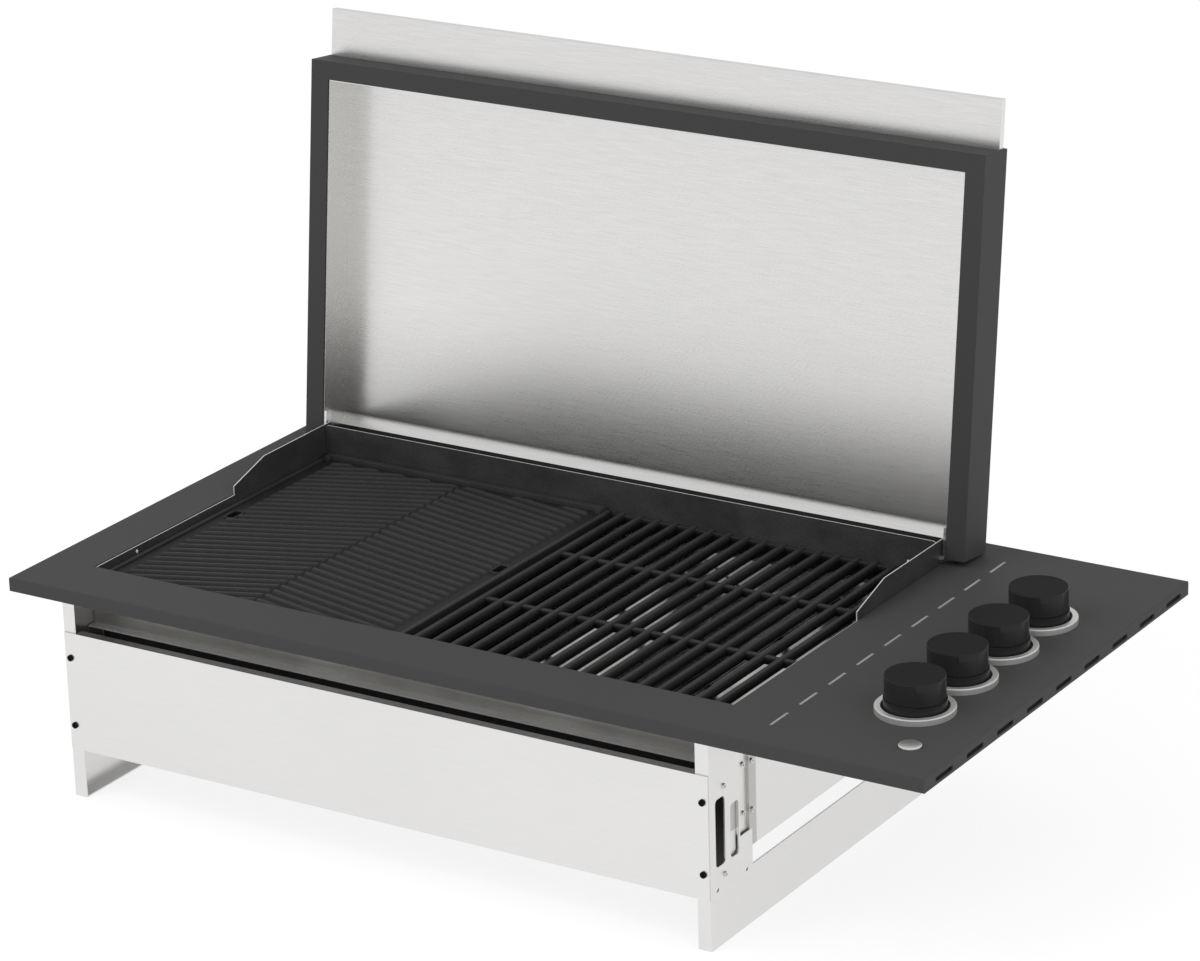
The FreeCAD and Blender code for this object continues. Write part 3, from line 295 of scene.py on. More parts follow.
def new_tree(name, kind, inputs, outputs):
    """A node tree whose sockets are given as names by kind, with its start and its end."""
    tree = bpy.data.node_groups.new(name, kind)
    for way, sockets in (("INPUT", inputs), ("OUTPUT", outputs)):
        for socket_kind, names in sockets.items():
            for socket in names:
                tree.interface.new_socket(name=socket, in_out=way, socket_type="NodeSocket" + socket_kind)
    return tree, tree.nodes.new("NodeGroupInput"), tree.nodes.new("NodeGroupOutput")


# Shared shader effects

def scaled_noise(group, vector, scale, detail, roughness):
    """Noise on a vector that is scaled by another vector socket."""
    stretch = add_node(group, "ShaderNodeVectorMath", {0: vector, 1: scale}, operation="MULTIPLY")
    noise = add_node(group, "ShaderNodeTexNoise", {
        "Vector": stretch, "Scale": 1.0, "Detail": detail, "Roughness": roughness})
    return noise.outputs["Fac"]


def spread(group, value, ends):
    """A noise's value spread between two sockets."""
    return map_range(group, value, NOISE_RANGE, ends, "LINEAR")


def scaled_colour(tree, tint, factor):
    """A colour times a factor."""
    return add_node(tree, "ShaderNodeVectorMath", {0: tint, "Scale": factor}, operation="SCALE").outputs[0]


def surface_group():
    """Grain, tone and roughness of a finish: a fine grain stretched along a direction, and soft patches."""
    name = "Surface finish"
    found = bpy.data.node_groups.get(name)
    if found:
        return found
    group, start, end = new_tree(name, "ShaderNodeTree", {
        "Vector": ("Vector", "Grain Scale", "Patch Scale"), "Color": ("Colour",),
        "Float": ("Dark", "Light", "Patch Dark", "Patch Light", "Rough Low", "Rough High"),
    }, {"Color": ("Colour",), "Float": ("Roughness", "Height")})
    given = start.outputs
    grain = scaled_noise(group, given["Vector"], given["Grain Scale"], detail=3.0, roughness=0.6)
    patch = scaled_noise(group, given["Vector"], given["Patch Scale"], detail=4.0, roughness=0.55)
    tone = spread(group, grain, (given["Dark"], given["Light"]))
    wash = spread(group, patch, (given["Patch Dark"], given["Patch Light"]))
    mean = maths(group, "MULTIPLY", maths(group, "ADD", grain, patch), 0.5)
    fill(group, end, {
        "Colour": scaled_colour(group, given["Colour"], maths(group, "MULTIPLY", tone, wash)),
        "Roughness": spread(group, mean, (given["Rough Low"], given["Rough High"])), "Height": grain})
    return group


def toned_by_height(tree, point, tint, low, high, low_tone, high_tone):
    """A colour scaled by one tone at a low height and by another at a high one: painted shade and painted
    light that follow the height.
    """
    height = add_node(tree, "ShaderNodeSeparateXYZ", {0: point}).outputs["Z"]
    return scaled_colour(tree, tint, map_range(tree, height, (low, high), (low_tone, high_tone)))


# Finishes: name, tint from the colours, scale and tones of the grain, scale and tones of the soft patches,
# range of the roughness, strength and distance of the bump; by_height holds two heights and their tones,
# which paint shade and light by height

Finish = namedtuple("Finish", "name tint grain tones patch washes rough bump metal specular by_height",
                    defaults=(0.0, 0.5, None))


def even(scale):
    return (scale, scale, scale)


FINISHES = {
    "fascia": Finish("Fascia powder coat", "fascia", even(1500), (0.86, 1.14), even(7), (0.97, 1.03),
                     (0.60, 0.72), (0.16, 0.0004), specular=0.14),
    "lid": Finish("Lid powder coat", "lid_frame", even(1500), (0.86, 1.14), even(6), (0.97, 1.03),
                  (0.56, 0.68), (0.16, 0.0004), specular=0.18),
    "body": Finish("Body satin sheet", "body_sheet", (40, 40, 1400), (0.97, 1.02), (3, 3, 5), (0.97, 1.02),
                   (0.30, 0.40), (0.03, 0.0003), metal=1.0),
    "brushed": Finish("Stainless brushed across", "stainless", (32, 1000, 1000), (0.91, 1.07), (2, 5, 5),
                      (0.98, 1.02), (0.24, 0.32), (0.06, 0.0002), metal=1.0),
    "spun": Finish("Stainless spun", "stainless", (700, 700, 120), (0.93, 1.05), even(30), (0.97, 1.03),
                   (0.30, 0.40), (0.08, 0.0003), metal=1.0),
    "firebox": Finish("Firebox heat-toned sheet", "firebox", (12, 700, 700), (0.92, 1.06), (9, 9, 5),
                      (0.72, 1.1), (0.42, 0.54), (0.05, 0.0003), metal=1.0),
    # Painted shade: a darker copy of the firebox steel for the shaded fronts of the sides and strips
    "firebox_side": Finish("Firebox side sheet in painted shade", "side_shade", (12, 700, 700), (0.95, 1.04), (9, 9, 5),
                           (0.95, 1.04), (0.36, 0.46), (0.04, 0.0003), metal=1.0),
    # Mostly matt near-white: bare metal that also carries a painted highlight on edges, rivets and the
    # firebox lip
    "bare_edge": Finish("Bare cut edge", "bare_edge", even(500), (0.92, 1.04), even(40), (0.94, 1.03),
                        (0.4, 0.5), (0.05, 0.0002), metal=0.3),
    "guard": Finish("Guard enamel", "guard", even(420), (0.8, 1.25), (26, 26, 40), (0.75, 1.3),
                    (0.3, 0.46), (0.2, 0.0008), specular=0.35),
    # Cast iron is darker down the hotplate's grooves and sides and lighter on the rib crests: painted shade
    # and painted highlight
    "iron": Finish("Seasoned cast iron", "iron", even(650), (0.75, 1.3), even(22), (0.88, 1.12), (0.5, 0.66),
                   (0.3, 0.0006), specular=0.16, by_height=(GRATE_TOP - 0.003, GRATE_TOP, 0.62, 1.2)),
    "knob": Finish("Knob black", "knob", even(2200), (0.85, 1.15), even(25), (0.95, 1.06),
                   (0.46, 0.56), (0.05, 0.0002), specular=0.01),
    "knob_gloss": Finish("Knob gloss", "knob", even(2200), (0.9, 1.1), (40, 40, 12), (0.9, 1.1),
                         (0.26, 0.34), (0.02, 0.0002), specular=0.16),
    # Black coat: the igniter body's own black, and painted shade wherever else it is used
    "black_and_painted_shade": Finish("Black coat and painted shade", "black_and_painted_shade", even(900), (0.8, 1.2), even(15), (0.9, 1.1),
                   (0.6, 0.75), (0.2, 0.0004), specular=0.3),
    "burner": Finish("Burner stainless", "firebox", (700, 10, 700), (0.9, 1.08), (9, 5, 9), (0.85, 1.08),
                     (0.24, 0.38), (0.06, 0.0003), metal=1.0),
    # The tamers' wide patches, from near black to bright, are painted reflections: the streaks seen between
    # the grate's bars
    "tamer": Finish("Flame tamer sheet", "tamer", (500, 12, 500), (0.95, 1.04), (21, 13, 21), (0.15, 1.15),
                    (0.10, 0.18), (0.02, 0.0002), metal=1.0),
    "zinc": Finish("Zinc-coated sheet", "zinc", even(300), (0.93, 1.03), even(30), (0.92, 1.04),
                   (0.5, 0.6), (0.04, 0.0002)),
    "tray": Finish("Tray steel", "body_sheet", even(300), (0.9, 1.06), even(18), (0.82, 1.06),
                   (0.34, 0.48), (0.06, 0.0003), metal=1.0),
    "brass": Finish("Valve brass", "brass", even(600), (0.88, 1.1), even(60), (0.88, 1.08),
                    (0.28, 0.4), (0.12, 0.0003), metal=1.0),
    "pipe": Finish("Pipe grey", "pipe", even(900), (0.85, 1.15), even(12), (0.9, 1.1),
                   (0.4, 0.52), (0.12, 0.0003)),
    "tube": Finish("Drawn aluminium", "aluminium", even(500), (0.93, 1.05), even(14), (0.92, 1.05),
                   (0.28, 0.38), (0.05, 0.0002), metal=1.0),
    "screw": Finish("Black oxide", "oxide", even(1200), (0.8, 1.2), even(80), (0.9, 1.1),
                    (0.45, 0.6), (0.1, 0.0002), specular=0.1),
}
# The pan's stainless is darker towards its foot: a painted reflection of the dark hotplate below it
FINISHES["pan"] = FINISHES["brushed"]._replace(
    name="Pan stainless with painted reflection", by_height=(PAN_LOW + 0.02, PAN_LOW + 0.15, 0.75, 1.0))
FINISHES["bezel"] = FINISHES["spun"]._replace(
    name="Bezel satin steel", rough=(0.40, 0.50), bump=(0.06, 0.0003), metal=0.72)
# The firebox front below its lip: black as painted shade, made lighter towards its foot as painted light
FINISHES["firebox_front"] = FINISHES["black_and_painted_shade"]._replace(
    name="Firebox front painted shade and light", by_height=(0.062, 0.125, 11.0, 1.0))
# The grate's bars are much darker down their sides and lighter on their tops: painted shade and painted
# highlight
FINISHES["grate"] = FINISHES["iron"]._replace(
    name="Grate cast iron", specular=0.1, by_height=(GRATE_TOP - 0.0065, GRATE_TOP, 0.2, 1.3))


def coat(key):
    """The material of a finish, made once."""
    look = FINISHES[key]
    found = bpy.data.materials.get(look.name)
    if found:
        return found
    tint = (*getattr(bpy.context.scene.grill_colours, look.tint), 1.0)
    made = bpy.data.materials.new(look.name)
    made.use_nodes = True
    made.diffuse_color = tint
    tree = made.node_tree
    point = add_node(tree, "ShaderNodeTexCoord").outputs["Object"]
    effect = add_node(tree, "ShaderNodeGroup", {
        "Vector": point, "Colour": tint, "Grain Scale": look.grain, "Patch Scale": look.patch,
        "Dark": look.tones[0], "Light": look.tones[1], "Patch Dark": look.washes[0],
        "Patch Light": look.washes[1], "Rough Low": look.rough[0], "Rough High": look.rough[1],
    }, node_tree=surface_group()).outputs
    tone = effect["Colour"]
    if look.by_height:
        tone = toned_by_height(tree, point, tone, *look.by_height)
    lift = add_node(tree, "ShaderNodeBump", {
        "Strength": look.bump[0], "Distance": look.bump[1], "Height": effect["Height"]})
    fill(tree, tree.nodes["Principled BSDF"], {
        "Base Color": tone, "Roughness": effect["Roughness"], "Normal": lift, "Metallic": look.metal,
        "Specular IOR Level": look.specular})
    return made


# Mesh helpers

def merged_copy(node):
    """The CAD node's mesh with its doubles merged and its flat faces joined."""
    mesh = bmesh.new()
    mesh.from_mesh(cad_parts[node].data)
    bmesh.ops.remove_doubles(mesh, verts=mesh.verts, dist=MERGE_DISTANCE)
    bmesh.ops.dissolve_limit(mesh, angle_limit=math.radians(FLAT_ANGLE), verts=mesh.verts, edges=mesh.edges,
                             delimit={"NORMAL"})
    return mesh


def soften(mesh, width, steps):
    """Round every sharp edge by a width."""
    limit = math.radians(SHARP_ANGLE)
    edges = [edge for edge in mesh.edges if len(edge.link_faces) == 2 and edge.calc_face_angle(0) > limit]
    bmesh.ops.bevel(mesh, geom=edges, offset=width, offset_type="OFFSET", segments=steps, profile=0.5,
                    affect="EDGES", clamp_overlap=True)


def even_normals(data, smooth):
    """Shade each corner by the large faces round it: flats stay flat, and roundings run out smoothly."""
    data.shade_smooth()
    limit = math.cos(math.radians(smooth))
    faces_at = [[] for _ in data.vertices]
    for face in data.polygons:
        for vertex in face.vertices:
            faces_at[vertex].append(face.index)
    normals = [face.normal.copy() for face in data.polygons]
    areas = [face.area for face in data.polygons]
    corners = [Vector((0, 0, 1))] * len(data.loops)
    for face in data.polygons:
        own = normals[face.index]
        for corner in face.loop_indices:
            mixed = Vector((0, 0, 0))
            for other in faces_at[data.loops[corner].vertex_index]:
                if own.dot(normals[other]) > limit:
                    mixed += normals[other] * areas[other]
            corners[corner] = mixed.normalized() if mixed.length > 0 else own
    data.normals_split_custom_set(corners)


def linked(name, data):
    """A new object in the scene."""
    made = bpy.data.objects.new(name, data)
    bpy.context.scene.collection.objects.link(made)
    return made


def place(data, name, slot, finishes, nodes=(), body="grill_body", smooth=SMOOTH_ANGLE):
    """Finish a mesh's shading and materials, and fasten it to its body, where it stands for CAD nodes."""
    even_normals(data, smooth)
    if not data.materials:
        for key in finishes:
            data.materials.append(coat(key))
    piece = linked(name, data)
    if nodes:
        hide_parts(*nodes)
    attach(piece, body)


def piece_from(mesh, name, *place_values, **more_values):
    """Turn a bmesh into a finished piece; the other values are those of place."""
    data = bpy.data.meshes.new(name)
    mesh.to_mesh(data)
    mesh.free()
    place(data, name, *place_values, **more_values)


def dress(node, slot, finishes, edge, steps=2, chooser=None, splits=(), body="grill_body"):
    """A rounded copy of a CAD node, its faces split along planes that are given as a point and a normal.

    The chooser gives each face its finish's number.
    """
    mesh = merged_copy(node)
    for point, normal in splits:
        bmesh.ops.bisect_plane(mesh, geom=[*mesh.verts, *mesh.edges, *mesh.faces], plane_co=point,
                               plane_no=normal)
    soften(mesh, edge, steps)
    if chooser:
        mesh.normal_update()
        for face in mesh.faces:
            face.material_index = chooser(face)
    piece_from(mesh, node + "_finish", slot, finishes, (node,), body)


def paint_node(node, key):
    """Give a CAD node that stays as it is its finish."""
    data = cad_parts[node].data
    data.materials.clear()
    data.materials.append(coat(key))


def axis_of(low, high):
    """The foot of a box's upright middle line, at height 0, and half the box's width."""
    return Vector(((low.x + high.x) / 2, (low.y + high.y) / 2, 0)), (high.x - low.x) / 2


def arc(centre, radius, start, end, steps):
    """Points of an arc in a plane, angles in degrees."""
    points = []
    for step in range(steps + 1):
        turn = math.radians(start + (end - start) * step / steps)
        points.append((centre[0] + radius * math.cos(turn), centre[1] + radius * math.sin(turn)))
    return points


def shifted(radius, height, shifts):
    """Points of a profile beside a corner, given as shifts in radius and height."""
    return [(radius + outwards, height + upwards) for outwards, upwards in shifts]


def level_loop(sides, inset, z, radius, steps=5):
    """Points of a level rectangle with rounded corners, drawn in from its sides, anticlockwise."""
    x0, x1, y0, y1 = sides
    left, right = x0 + inset + radius, x1 - inset - radius
    front, rear = y0 + inset + radius, y1 - inset - radius
    points = []
    for quarter, corner in enumerate(((right, rear), (left, rear), (left, front), (right, front))):
        start = 90 * quarter
        points += [Vector((x, y, z)) for x, y in arc(corner, radius, start, start + 90, steps)]
    return points


def loft(mesh, loops):
    """Join closed loops, each a list of points, into a skin; a loop of one point ends it in a fan."""
    rings = [[mesh.verts.new(point) for point in loop] for loop in loops]
    for low, high in zip(rings, rings[1:]):
        count = max(len(low), len(high))
        for step in range(count):
            after = (step + 1) % count
            if len(low) == 1:
                corners = (low[0], high[step], high[after])
            elif len(high) == 1:
                corners = (low[step], low[after], high[0])
            else:
                corners = (low[step], low[after], high[after], high[step])
            mesh.faces.new(corners)
    bmesh.ops.recalc_face_normals(mesh, faces=mesh.faces)
    return rings


def lathe(centre, profile, steps, radius_at=None):
    """Turn a profile of (radius, height) points about an upright line; radius_at may shift a radius."""
    loops = []
    for index, (radius, height) in enumerate(profile):
        loop = []
        for step in range(steps if radius else 1):
            turn = 2 * math.pi * step / steps
            reach = radius_at(index, turn, radius) if radius_at else radius
            loop.append(centre + Vector((reach * math.cos(turn), reach * math.sin(turn), height)))
        loops.append(loop)
    mesh = bmesh.new()
    loft(mesh, loops)
    return mesh


# Geometry node trees

def geometry_tree(name, inputs):
    """A geometry node tree with inputs beside its geometry and its material."""
    geometry = {"Geometry": ("Geometry",)}
    return new_tree(name, "GeometryNodeTree", {**geometry, **inputs, "Material": ("Material",)}, geometry)


def end_tree(tree, start, end, last):
    """Realize the last node's instances, set the material and end the tree."""
    real = add_node(tree, "GeometryNodeRealizeInstances", {0: last})
    paint = add_node(tree, "GeometryNodeSetMaterial", {
        "Geometry": real, "Material": start.outputs["Material"]})
    fill(tree, end, {0: paint})
    return tree


def grown(tree, name, values, seed_points=()):
    """Run a tree on a small mesh of points and give back the plain mesh that it makes."""
    seed = bpy.data.meshes.new(name + "_seed")
    seed.from_pydata(seed_points, [], [])
    holder = linked(name + "_holder", seed)
    modifier = holder.modifiers.new("Nodes", "NODES")
    modifier.node_group = tree
    for item in tree.interface.items_tree:
        if item.in_out == "INPUT" and item.name in values:
            modifier[item.identifier] = values[item.name]
    holder.update_tag()
    view = bpy.context.evaluated_depsgraph_get()
    data = bpy.data.meshes.new_from_object(holder.evaluated_get(view), depsgraph=view)
    data.name = name
    bpy.data.objects.remove(holder)
    bpy.data.meshes.remove(seed)
    if not data.polygons:
        raise RuntimeError(name + " came out empty")
    return data


def ribbed_field_tree():
    """A grid raised into slanted ribs, with one slant left of its middle and one right of it."""
    tree, start, end = geometry_tree("Ribbed field", {
        "Float": ("Width", "Depth", "Spacing", "Height", "Left Slope", "Right Slope", "Side Margin",
                  "Front Margin", "Rear Margin", "Middle Gap", "Run Out"),
        "Int": ("Across", "Along"), "Vector": ("Centre",)})
    value = start.outputs

    def do(operation, *values):
        return maths(tree, operation, *values)

    grid = add_node(tree, "GeometryNodeMeshGrid", {
        "Size X": value["Width"], "Size Y": value["Depth"], "Vertices X": value["Across"],
        "Vertices Y": value["Along"]})
    point = add_node(tree, "GeometryNodeInputPosition")
    x, y, _ = add_node(tree, "ShaderNodeSeparateXYZ", {0: point}).outputs
    slope_change = do("SUBTRACT", value["Right Slope"], value["Left Slope"])
    slope = do("MULTIPLY_ADD", do("GREATER_THAN", x, 0.0), slope_change, value["Left Slope"])
    run = do("SUBTRACT", y, do("MULTIPLY", x, slope))
    phase = do("MULTIPLY", do("DIVIDE", run, value["Spacing"]), 2 * math.pi)
    crest = map_range(tree, do("MULTIPLY_ADD", do("COSINE", phase), 0.5, 0.5), RIB_FLANK)
    off_middle = do("ABSOLUTE", x)
    half_width = do("MULTIPLY", value["Width"], 0.5)
    half_depth = do("MULTIPLY", value["Depth"], 0.5)
    side_gap = do("SUBTRACT", do("SUBTRACT", half_width, off_middle), value["Side Margin"])
    front_gap = do("SUBTRACT", do("ADD", half_depth, y), value["Front Margin"])
    rear_gap = do("SUBTRACT", do("SUBTRACT", half_depth, y), value["Rear Margin"])
    middle_gap = do("MULTIPLY_ADD", value["Middle Gap"], -0.5, off_middle)
    middle_gap = do("MULTIPLY", middle_gap, RIB_MIDDLE_STEEPNESS)
    nearest = do("MINIMUM", do("MINIMUM", side_gap, front_gap), do("MINIMUM", rear_gap, middle_gap))
    fade = map_range(tree, do("DIVIDE", nearest, value["Run Out"]), (0.0, 1.0))
    rise = do("MULTIPLY", do("MULTIPLY", crest, fade), value["Height"])
    upwards = add_node(tree, "ShaderNodeCombineXYZ", {"Z": rise})
    lift = add_node(tree, "GeometryNodeSetPosition", {"Geometry": grid, "Offset": upwards})
    move = add_node(tree, "GeometryNodeTransform", {"Geometry": lift, "Translation": value["Centre"]})
    return end_tree(tree, start, end, move)


def bar_row_tree():
    """A row of tapered, rounded bars, repeated by a step."""
    tree, start, end = geometry_tree("Bar row", {
        "Vector": ("First", "Step", "Run"), "Int": ("Count",), "Float": ("Top", "Foot", "Height", "Edge")})
    value = start.outputs
    section = add_node(tree, "GeometryNodeCurvePrimitiveQuadrilateral", {
        "Bottom Width": value["Foot"], "Top Width": value["Top"], "Height": value["Height"], "Offset": 0.0,
    }, mode="TRAPEZOID")
    rounding = add_node(tree, "GeometryNodeFilletCurve", {
        "Curve": section, "Radius": value["Edge"], "Count": BAR_EDGE_STEPS, "Limit Radius": True,
    }, mode="POLY")
    line = add_node(tree, "GeometryNodeCurvePrimitiveLine", {"End": value["Run"]})
    skin = add_node(tree, "GeometryNodeCurveToMesh", {
        "Curve": line, "Profile Curve": rounding, "Fill Caps": True})
    row = add_node(tree, "GeometryNodeMeshLine", {
        "Count": value["Count"], "Start Location": value["First"], "Offset": value["Step"]})
    copies = add_node(tree, "GeometryNodeInstanceOnPoints", {"Points": row, "Instance": skin})
    return end_tree(tree, start, end, copies)


def rivet_tree():
    """Domed rivet heads on the seed mesh's points."""
    tree, start, end = geometry_tree("Rivets", {"Float": ("Radius",)})
    head = add_node(tree, "GeometryNodeMeshUVSphere", {
        "Segments": RIVET_SEGMENTS, "Rings": RIVET_RINGS, "Radius": start.outputs["Radius"]})
    flat = add_node(tree, "GeometryNodeTransform", {"Geometry": head, "Scale": RIVET_SCALE})
    copies = add_node(tree, "GeometryNodeInstanceOnPoints", {
        "Points": start.outputs["Geometry"], "Instance": flat})
    return end_tree(tree, start, end, copies)


# Pieces

class GRILL_OT_fascia(bpy.types.Operator):
    """Dress the folded fascia and finish the shield and the baffle below its vents"""
    bl_idname = "grill.fascia"
    bl_label = "Fascia"

    def execute(self, context):
        size = sizes()
        vent = FASCIA_BOX[1].x - size.vent_inset

        def vent_wall(face):
            """1 for the cut walls of the top vents, pale zinc as a painted highlight."""
            across = abs(face.calc_center_median().x - vent)
            return int(across < size.vent_width and abs(face.normal.z) < VENT_WALL)

        dress("fascia", "charcoal_paint", ("fascia", "zinc"), size.fascia_edge, chooser=vent_wall)
        paint_node("control_shield", "zinc")
        # The baffle behind the vents is black: painted shade seen through them
        paint_node("vent_baffle", "black_and_painted_shade")
        return {"FINISHED"}


class GRILL_OT_body(bpy.types.Operator):
    """Dress the side, front and rear panels"""
    bl_idname = "grill.body"
    bl_label = "Body panels"

    def execute(self, context):
        for node in ("left_side_panel", "right_side_panel", "front_panel", "rear_panel"):
            dress(node, "body_steel", ("body",), sizes().sheet_edge)
        return {"FINISHED"}


class GRILL_OT_firebox(bpy.types.Operator):
    """Dress the firebox; its lower front is painted black as shade and lighter towards its foot as painted
    light, the fronts of its sides and strips carry painted shade, and its lip a painted highlight
    """
    bl_idname = "grill.firebox"
    bl_label = "Firebox"

    def execute(self, context):
        size = sizes()
        low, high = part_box("firebox_front")
        lip = FASCIA_TOP - size.firebox_step_drop
        foot = size.strip_foot
        band_end = FASCIA_FRONT + size.firebox_band
        strip_end = FASCIA_FRONT + size.strip_shade
        side_end = FASCIA_FRONT + size.side_shade

        def front_part(face):
            """0 for the upper band, 1 for the wall below the lip, painted black as shade, 2 for the strips'
            upper front, in painted shade, 3 for the rest of the strips, 4 for the lip, pale as a painted
            highlight.
            """
            centre = face.calc_center_median()
            if centre.z > lip - LIP_BELOW:
                return 4 if centre.z < lip + LIP_ABOVE and centre.y < band_end else 0
            if min(centre.x - low.x, high.x - centre.x) > size.firebox_strip:
                return 1
            return 2 if centre.z > foot and centre.y < strip_end else 3

        def side_part(face):
            """1 for the front of a side, which carries painted shade."""
            return int(face.calc_center_median().y < side_end)

        finishes = ("firebox", "firebox_front", "firebox_side", "body", "bare_edge")
        dress("firebox_front", "body_steel", finishes, size.sheet_edge, chooser=front_part,
              splits=(((0, 0, foot), (0, 0, 1)), ((0, strip_end, 0), (0, 1, 0))))
        for node in ("firebox_left", "firebox_right"):
            dress(node, "body_steel", ("body", "firebox_side"), size.sheet_edge, chooser=side_part,
                  splits=(((0, side_end, 0), (0, 1, 0)),))
        dress("firebox_rear", "body_steel", ("body",), size.sheet_edge)
        return {"FINISHED"}


class GRILL_OT_guards(bpy.types.Operator):
    """Dress the splash guards: enamel faces with bare cut edges, and rivets"""
    bl_idname = "grill.guards"
    bl_label = "Splash guards"

    def execute(self, context):
        size = sizes()
        for node, axis in (("guard_left", 0), ("guard_right", 0), ("guard_rear", 1)):
            dress(node, "guard_steel", ("guard", "bare_edge"), size.sheet_edge * GUARD_EDGE,
                  chooser=self.cut_edge(axis))
        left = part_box("guard_left")[1].x
        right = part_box("guard_right")[0].x
        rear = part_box("guard_rear")[0].y
        side_y, side_z = FASCIA_FRONT + size.rivet_front, FASCIA_TOP - size.rivet_drop
        seats = [(left, side_y, side_z), (right, side_y, side_z),
                 (right - size.rivet_inset, rear, FASCIA_TOP - size.rivet_rear_drop)]
        heads = grown(rivet_tree(), "guard_rivets", {
            "Radius": size.rivet_radius, "Material": coat("bare_edge")}, seats)
        place(heads, "guard_rivets", "guard_steel", ("bare_edge",))
        return {"FINISHED"}

    def cut_edge(self, axis):
        """A chooser that gives 1 to the faces that don't look along an axis: the cut edges, whose near-white
        bare finish also paints their highlight.
        """
        return lambda face: int(abs(face.normal[axis]) <= FACING)


class GRILL_OT_hotplate(bpy.types.Operator):
    """Cast the hotplate: rim, ribbed field, grease bar and lifting slots"""
    bl_idname = "grill.hotplate"
    bl_label = "Hotplate"

    def execute(self, context):
        size = sizes()
        low, high = PLATE_BOX
        top = high.z - size.grease_bar_height
        floor = top - size.rib_height
        rim, bar = size.plate_rim, size.grease_bar_width
        bar_y1 = high.y - size.grease_bar_inset
        bar_y0 = bar_y1 - bar
        x0, x1 = low.x + rim, high.x - rim
        y0, y1 = low.y + rim, bar_y0
        mesh = bmesh.new()
        self.shell(mesh, (x0, x1, y0, y1), floor, top)
        self.bar(mesh, (x0, x1, bar_y0, bar_y1), top - BAR_SINK, high.z)
        for x in (x0, x1 - bar):
            self.bar(mesh, (x, x + bar, bar_y1 - size.grease_hook, bar_y0 + HOOK_OVERLAP), floor,
                     high.z - HOOK_DROP)
        bmesh.ops.recalc_face_normals(mesh, faces=mesh.faces)
        piece_from(mesh, "hotplate_casting", "cast_iron", ("iron",), ("hotplate",))
        field = grown(ribbed_field_tree(), "hotplate_ribs", {
            "Width": x1 - x0, "Depth": y1 - y0, "Across": FIELD_GRID[0], "Along": FIELD_GRID[1],
            "Centre": ((x0 + x1) / 2, (y0 + y1) / 2, floor), "Spacing": size.rib_spacing,
            "Height": size.rib_height, "Left Slope": math.tan(size.rib_angle_left),
            "Right Slope": math.tan(size.rib_angle_right), "Side Margin": size.rib_side_margin - rim,
            "Front Margin": size.rib_front_margin - rim, "Rear Margin": size.rib_rear_margin,
            "Middle Gap": size.rib_middle_gap, "Run Out": size.rib_end, "Material": coat("iron")})
        self.slots(field, size, floor)
        place(field, "hotplate_ribs", "cast_iron", ("iron",), smooth=RIB_SMOOTH_ANGLE)
        return {"FINISHED"}

    def shell(self, mesh, inside, floor, top):
        """Outer walls, rounded rim and hollow underside of the casting."""
        low, high = PLATE_BOX
        outside = (low.x, high.x, low.y, high.y)
        wall = min(inside[0] - low.x, high.y - inside[3])
        edge, middle = PLATE_EDGE, PLATE_EDGE * EDGE_MIDDLE
        rings = loft(mesh, [level_loop(*ring) for ring in (
            (outside, wall, floor - PLATE_SKIN, FIELD_CORNER), (outside, wall, low.z, FIELD_CORNER),
            (outside, PLATE_FOOT, low.z, PLATE_CORNER), (outside, 0, low.z + PLATE_FOOT, PLATE_CORNER),
            (outside, 0, top - edge, PLATE_CORNER), (outside, middle, top - middle, PLATE_CORNER),
            (outside, edge, top, PLATE_CORNER), (inside, -edge, top, PLATE_CORNER),
            (inside, -middle, top - middle, RIM_CORNER), (inside, 0, top - edge, FIELD_CORNER),
            (inside, 0, floor, FIELD_CORNER))])
        mesh.faces.new(list(reversed(rings[0])))

    def bar(self, mesh, sides, foot, top):
        """A low bar with rounded upper edges."""
        edge, middle = PLATE_EDGE, PLATE_EDGE * EDGE_MIDDLE
        rings = loft(mesh, [level_loop(sides, inset, z, edge) for inset, z in (
            (0, foot), (0, top - edge), (middle, top - middle), (edge * BAR_CROWN, top))])
        mesh.faces.new(rings[-1])

    def slots(self, field, size, floor):
        """Open the two lifting slots in the ribbed field and wall their mouths; the slots' inner walls and
        floor are black, painted shade inside them.
        """
        low, high = PLATE_BOX
        y = low.y + (high.y - low.y) * size.lift_slot_share
        half_x, half_y = size.lift_slot_width / 2, size.lift_slot_length / 2
        places = (low.x + size.lift_slot_left, high.x - size.lift_slot_right)
        crown = floor + size.lift_slot_boss
        outline = ((MOUTH_WIDTH, floor - MOUTH_SINK), (MOUTH_WIDTH * MOUTH_STEPS[0], crown - MOUTH_EDGE),
                   (MOUTH_WIDTH * MOUTH_STEPS[1], crown), (MOUTH_EDGE, crown), (0.0, crown - MOUTH_EDGE),
                   (0.0, floor - MOUTH_FOOT))

        def within(point, x, margin):
            """Whether a point lies in the slot at x, or in a margin round it."""
            return abs(point.x - x) < half_x + margin and abs(point.y - y) < half_y + margin

        mesh, mouths = bmesh.new(), bmesh.new()
        mesh.from_mesh(field)
        for x in places:
            for vertex in mesh.verts:
                if within(vertex.co, x, MOUTH_WIDTH):
                    vertex.co.z = floor
            opened = [face for face in mesh.faces if within(face.calc_center_median(), x, 0.0)]
            bmesh.ops.delete(mesh, geom=opened, context="FACES")
            sides = (x - half_x, x + half_x, y - half_y, y + half_y)
            rings = loft(mouths, [
                level_loop(sides, -grow, z, size.lift_slot_corner + grow, MOUTH_CORNER_STEPS)
                for grow, z in outline])
            mouths.faces.new(rings[-1])
        mesh.to_mesh(field)
        mesh.free()
        # Inside the slots, walls and floor get the black: painted shade
        for face in mouths.faces:
            centre = face.calc_center_median()
            face.material_index = int(any(within(centre, x, MOUTH_MARGIN) for x in places))
        piece_from(mouths, "hotplate_lifting_slots", "cast_iron", ("iron", "black_and_painted_shade"))


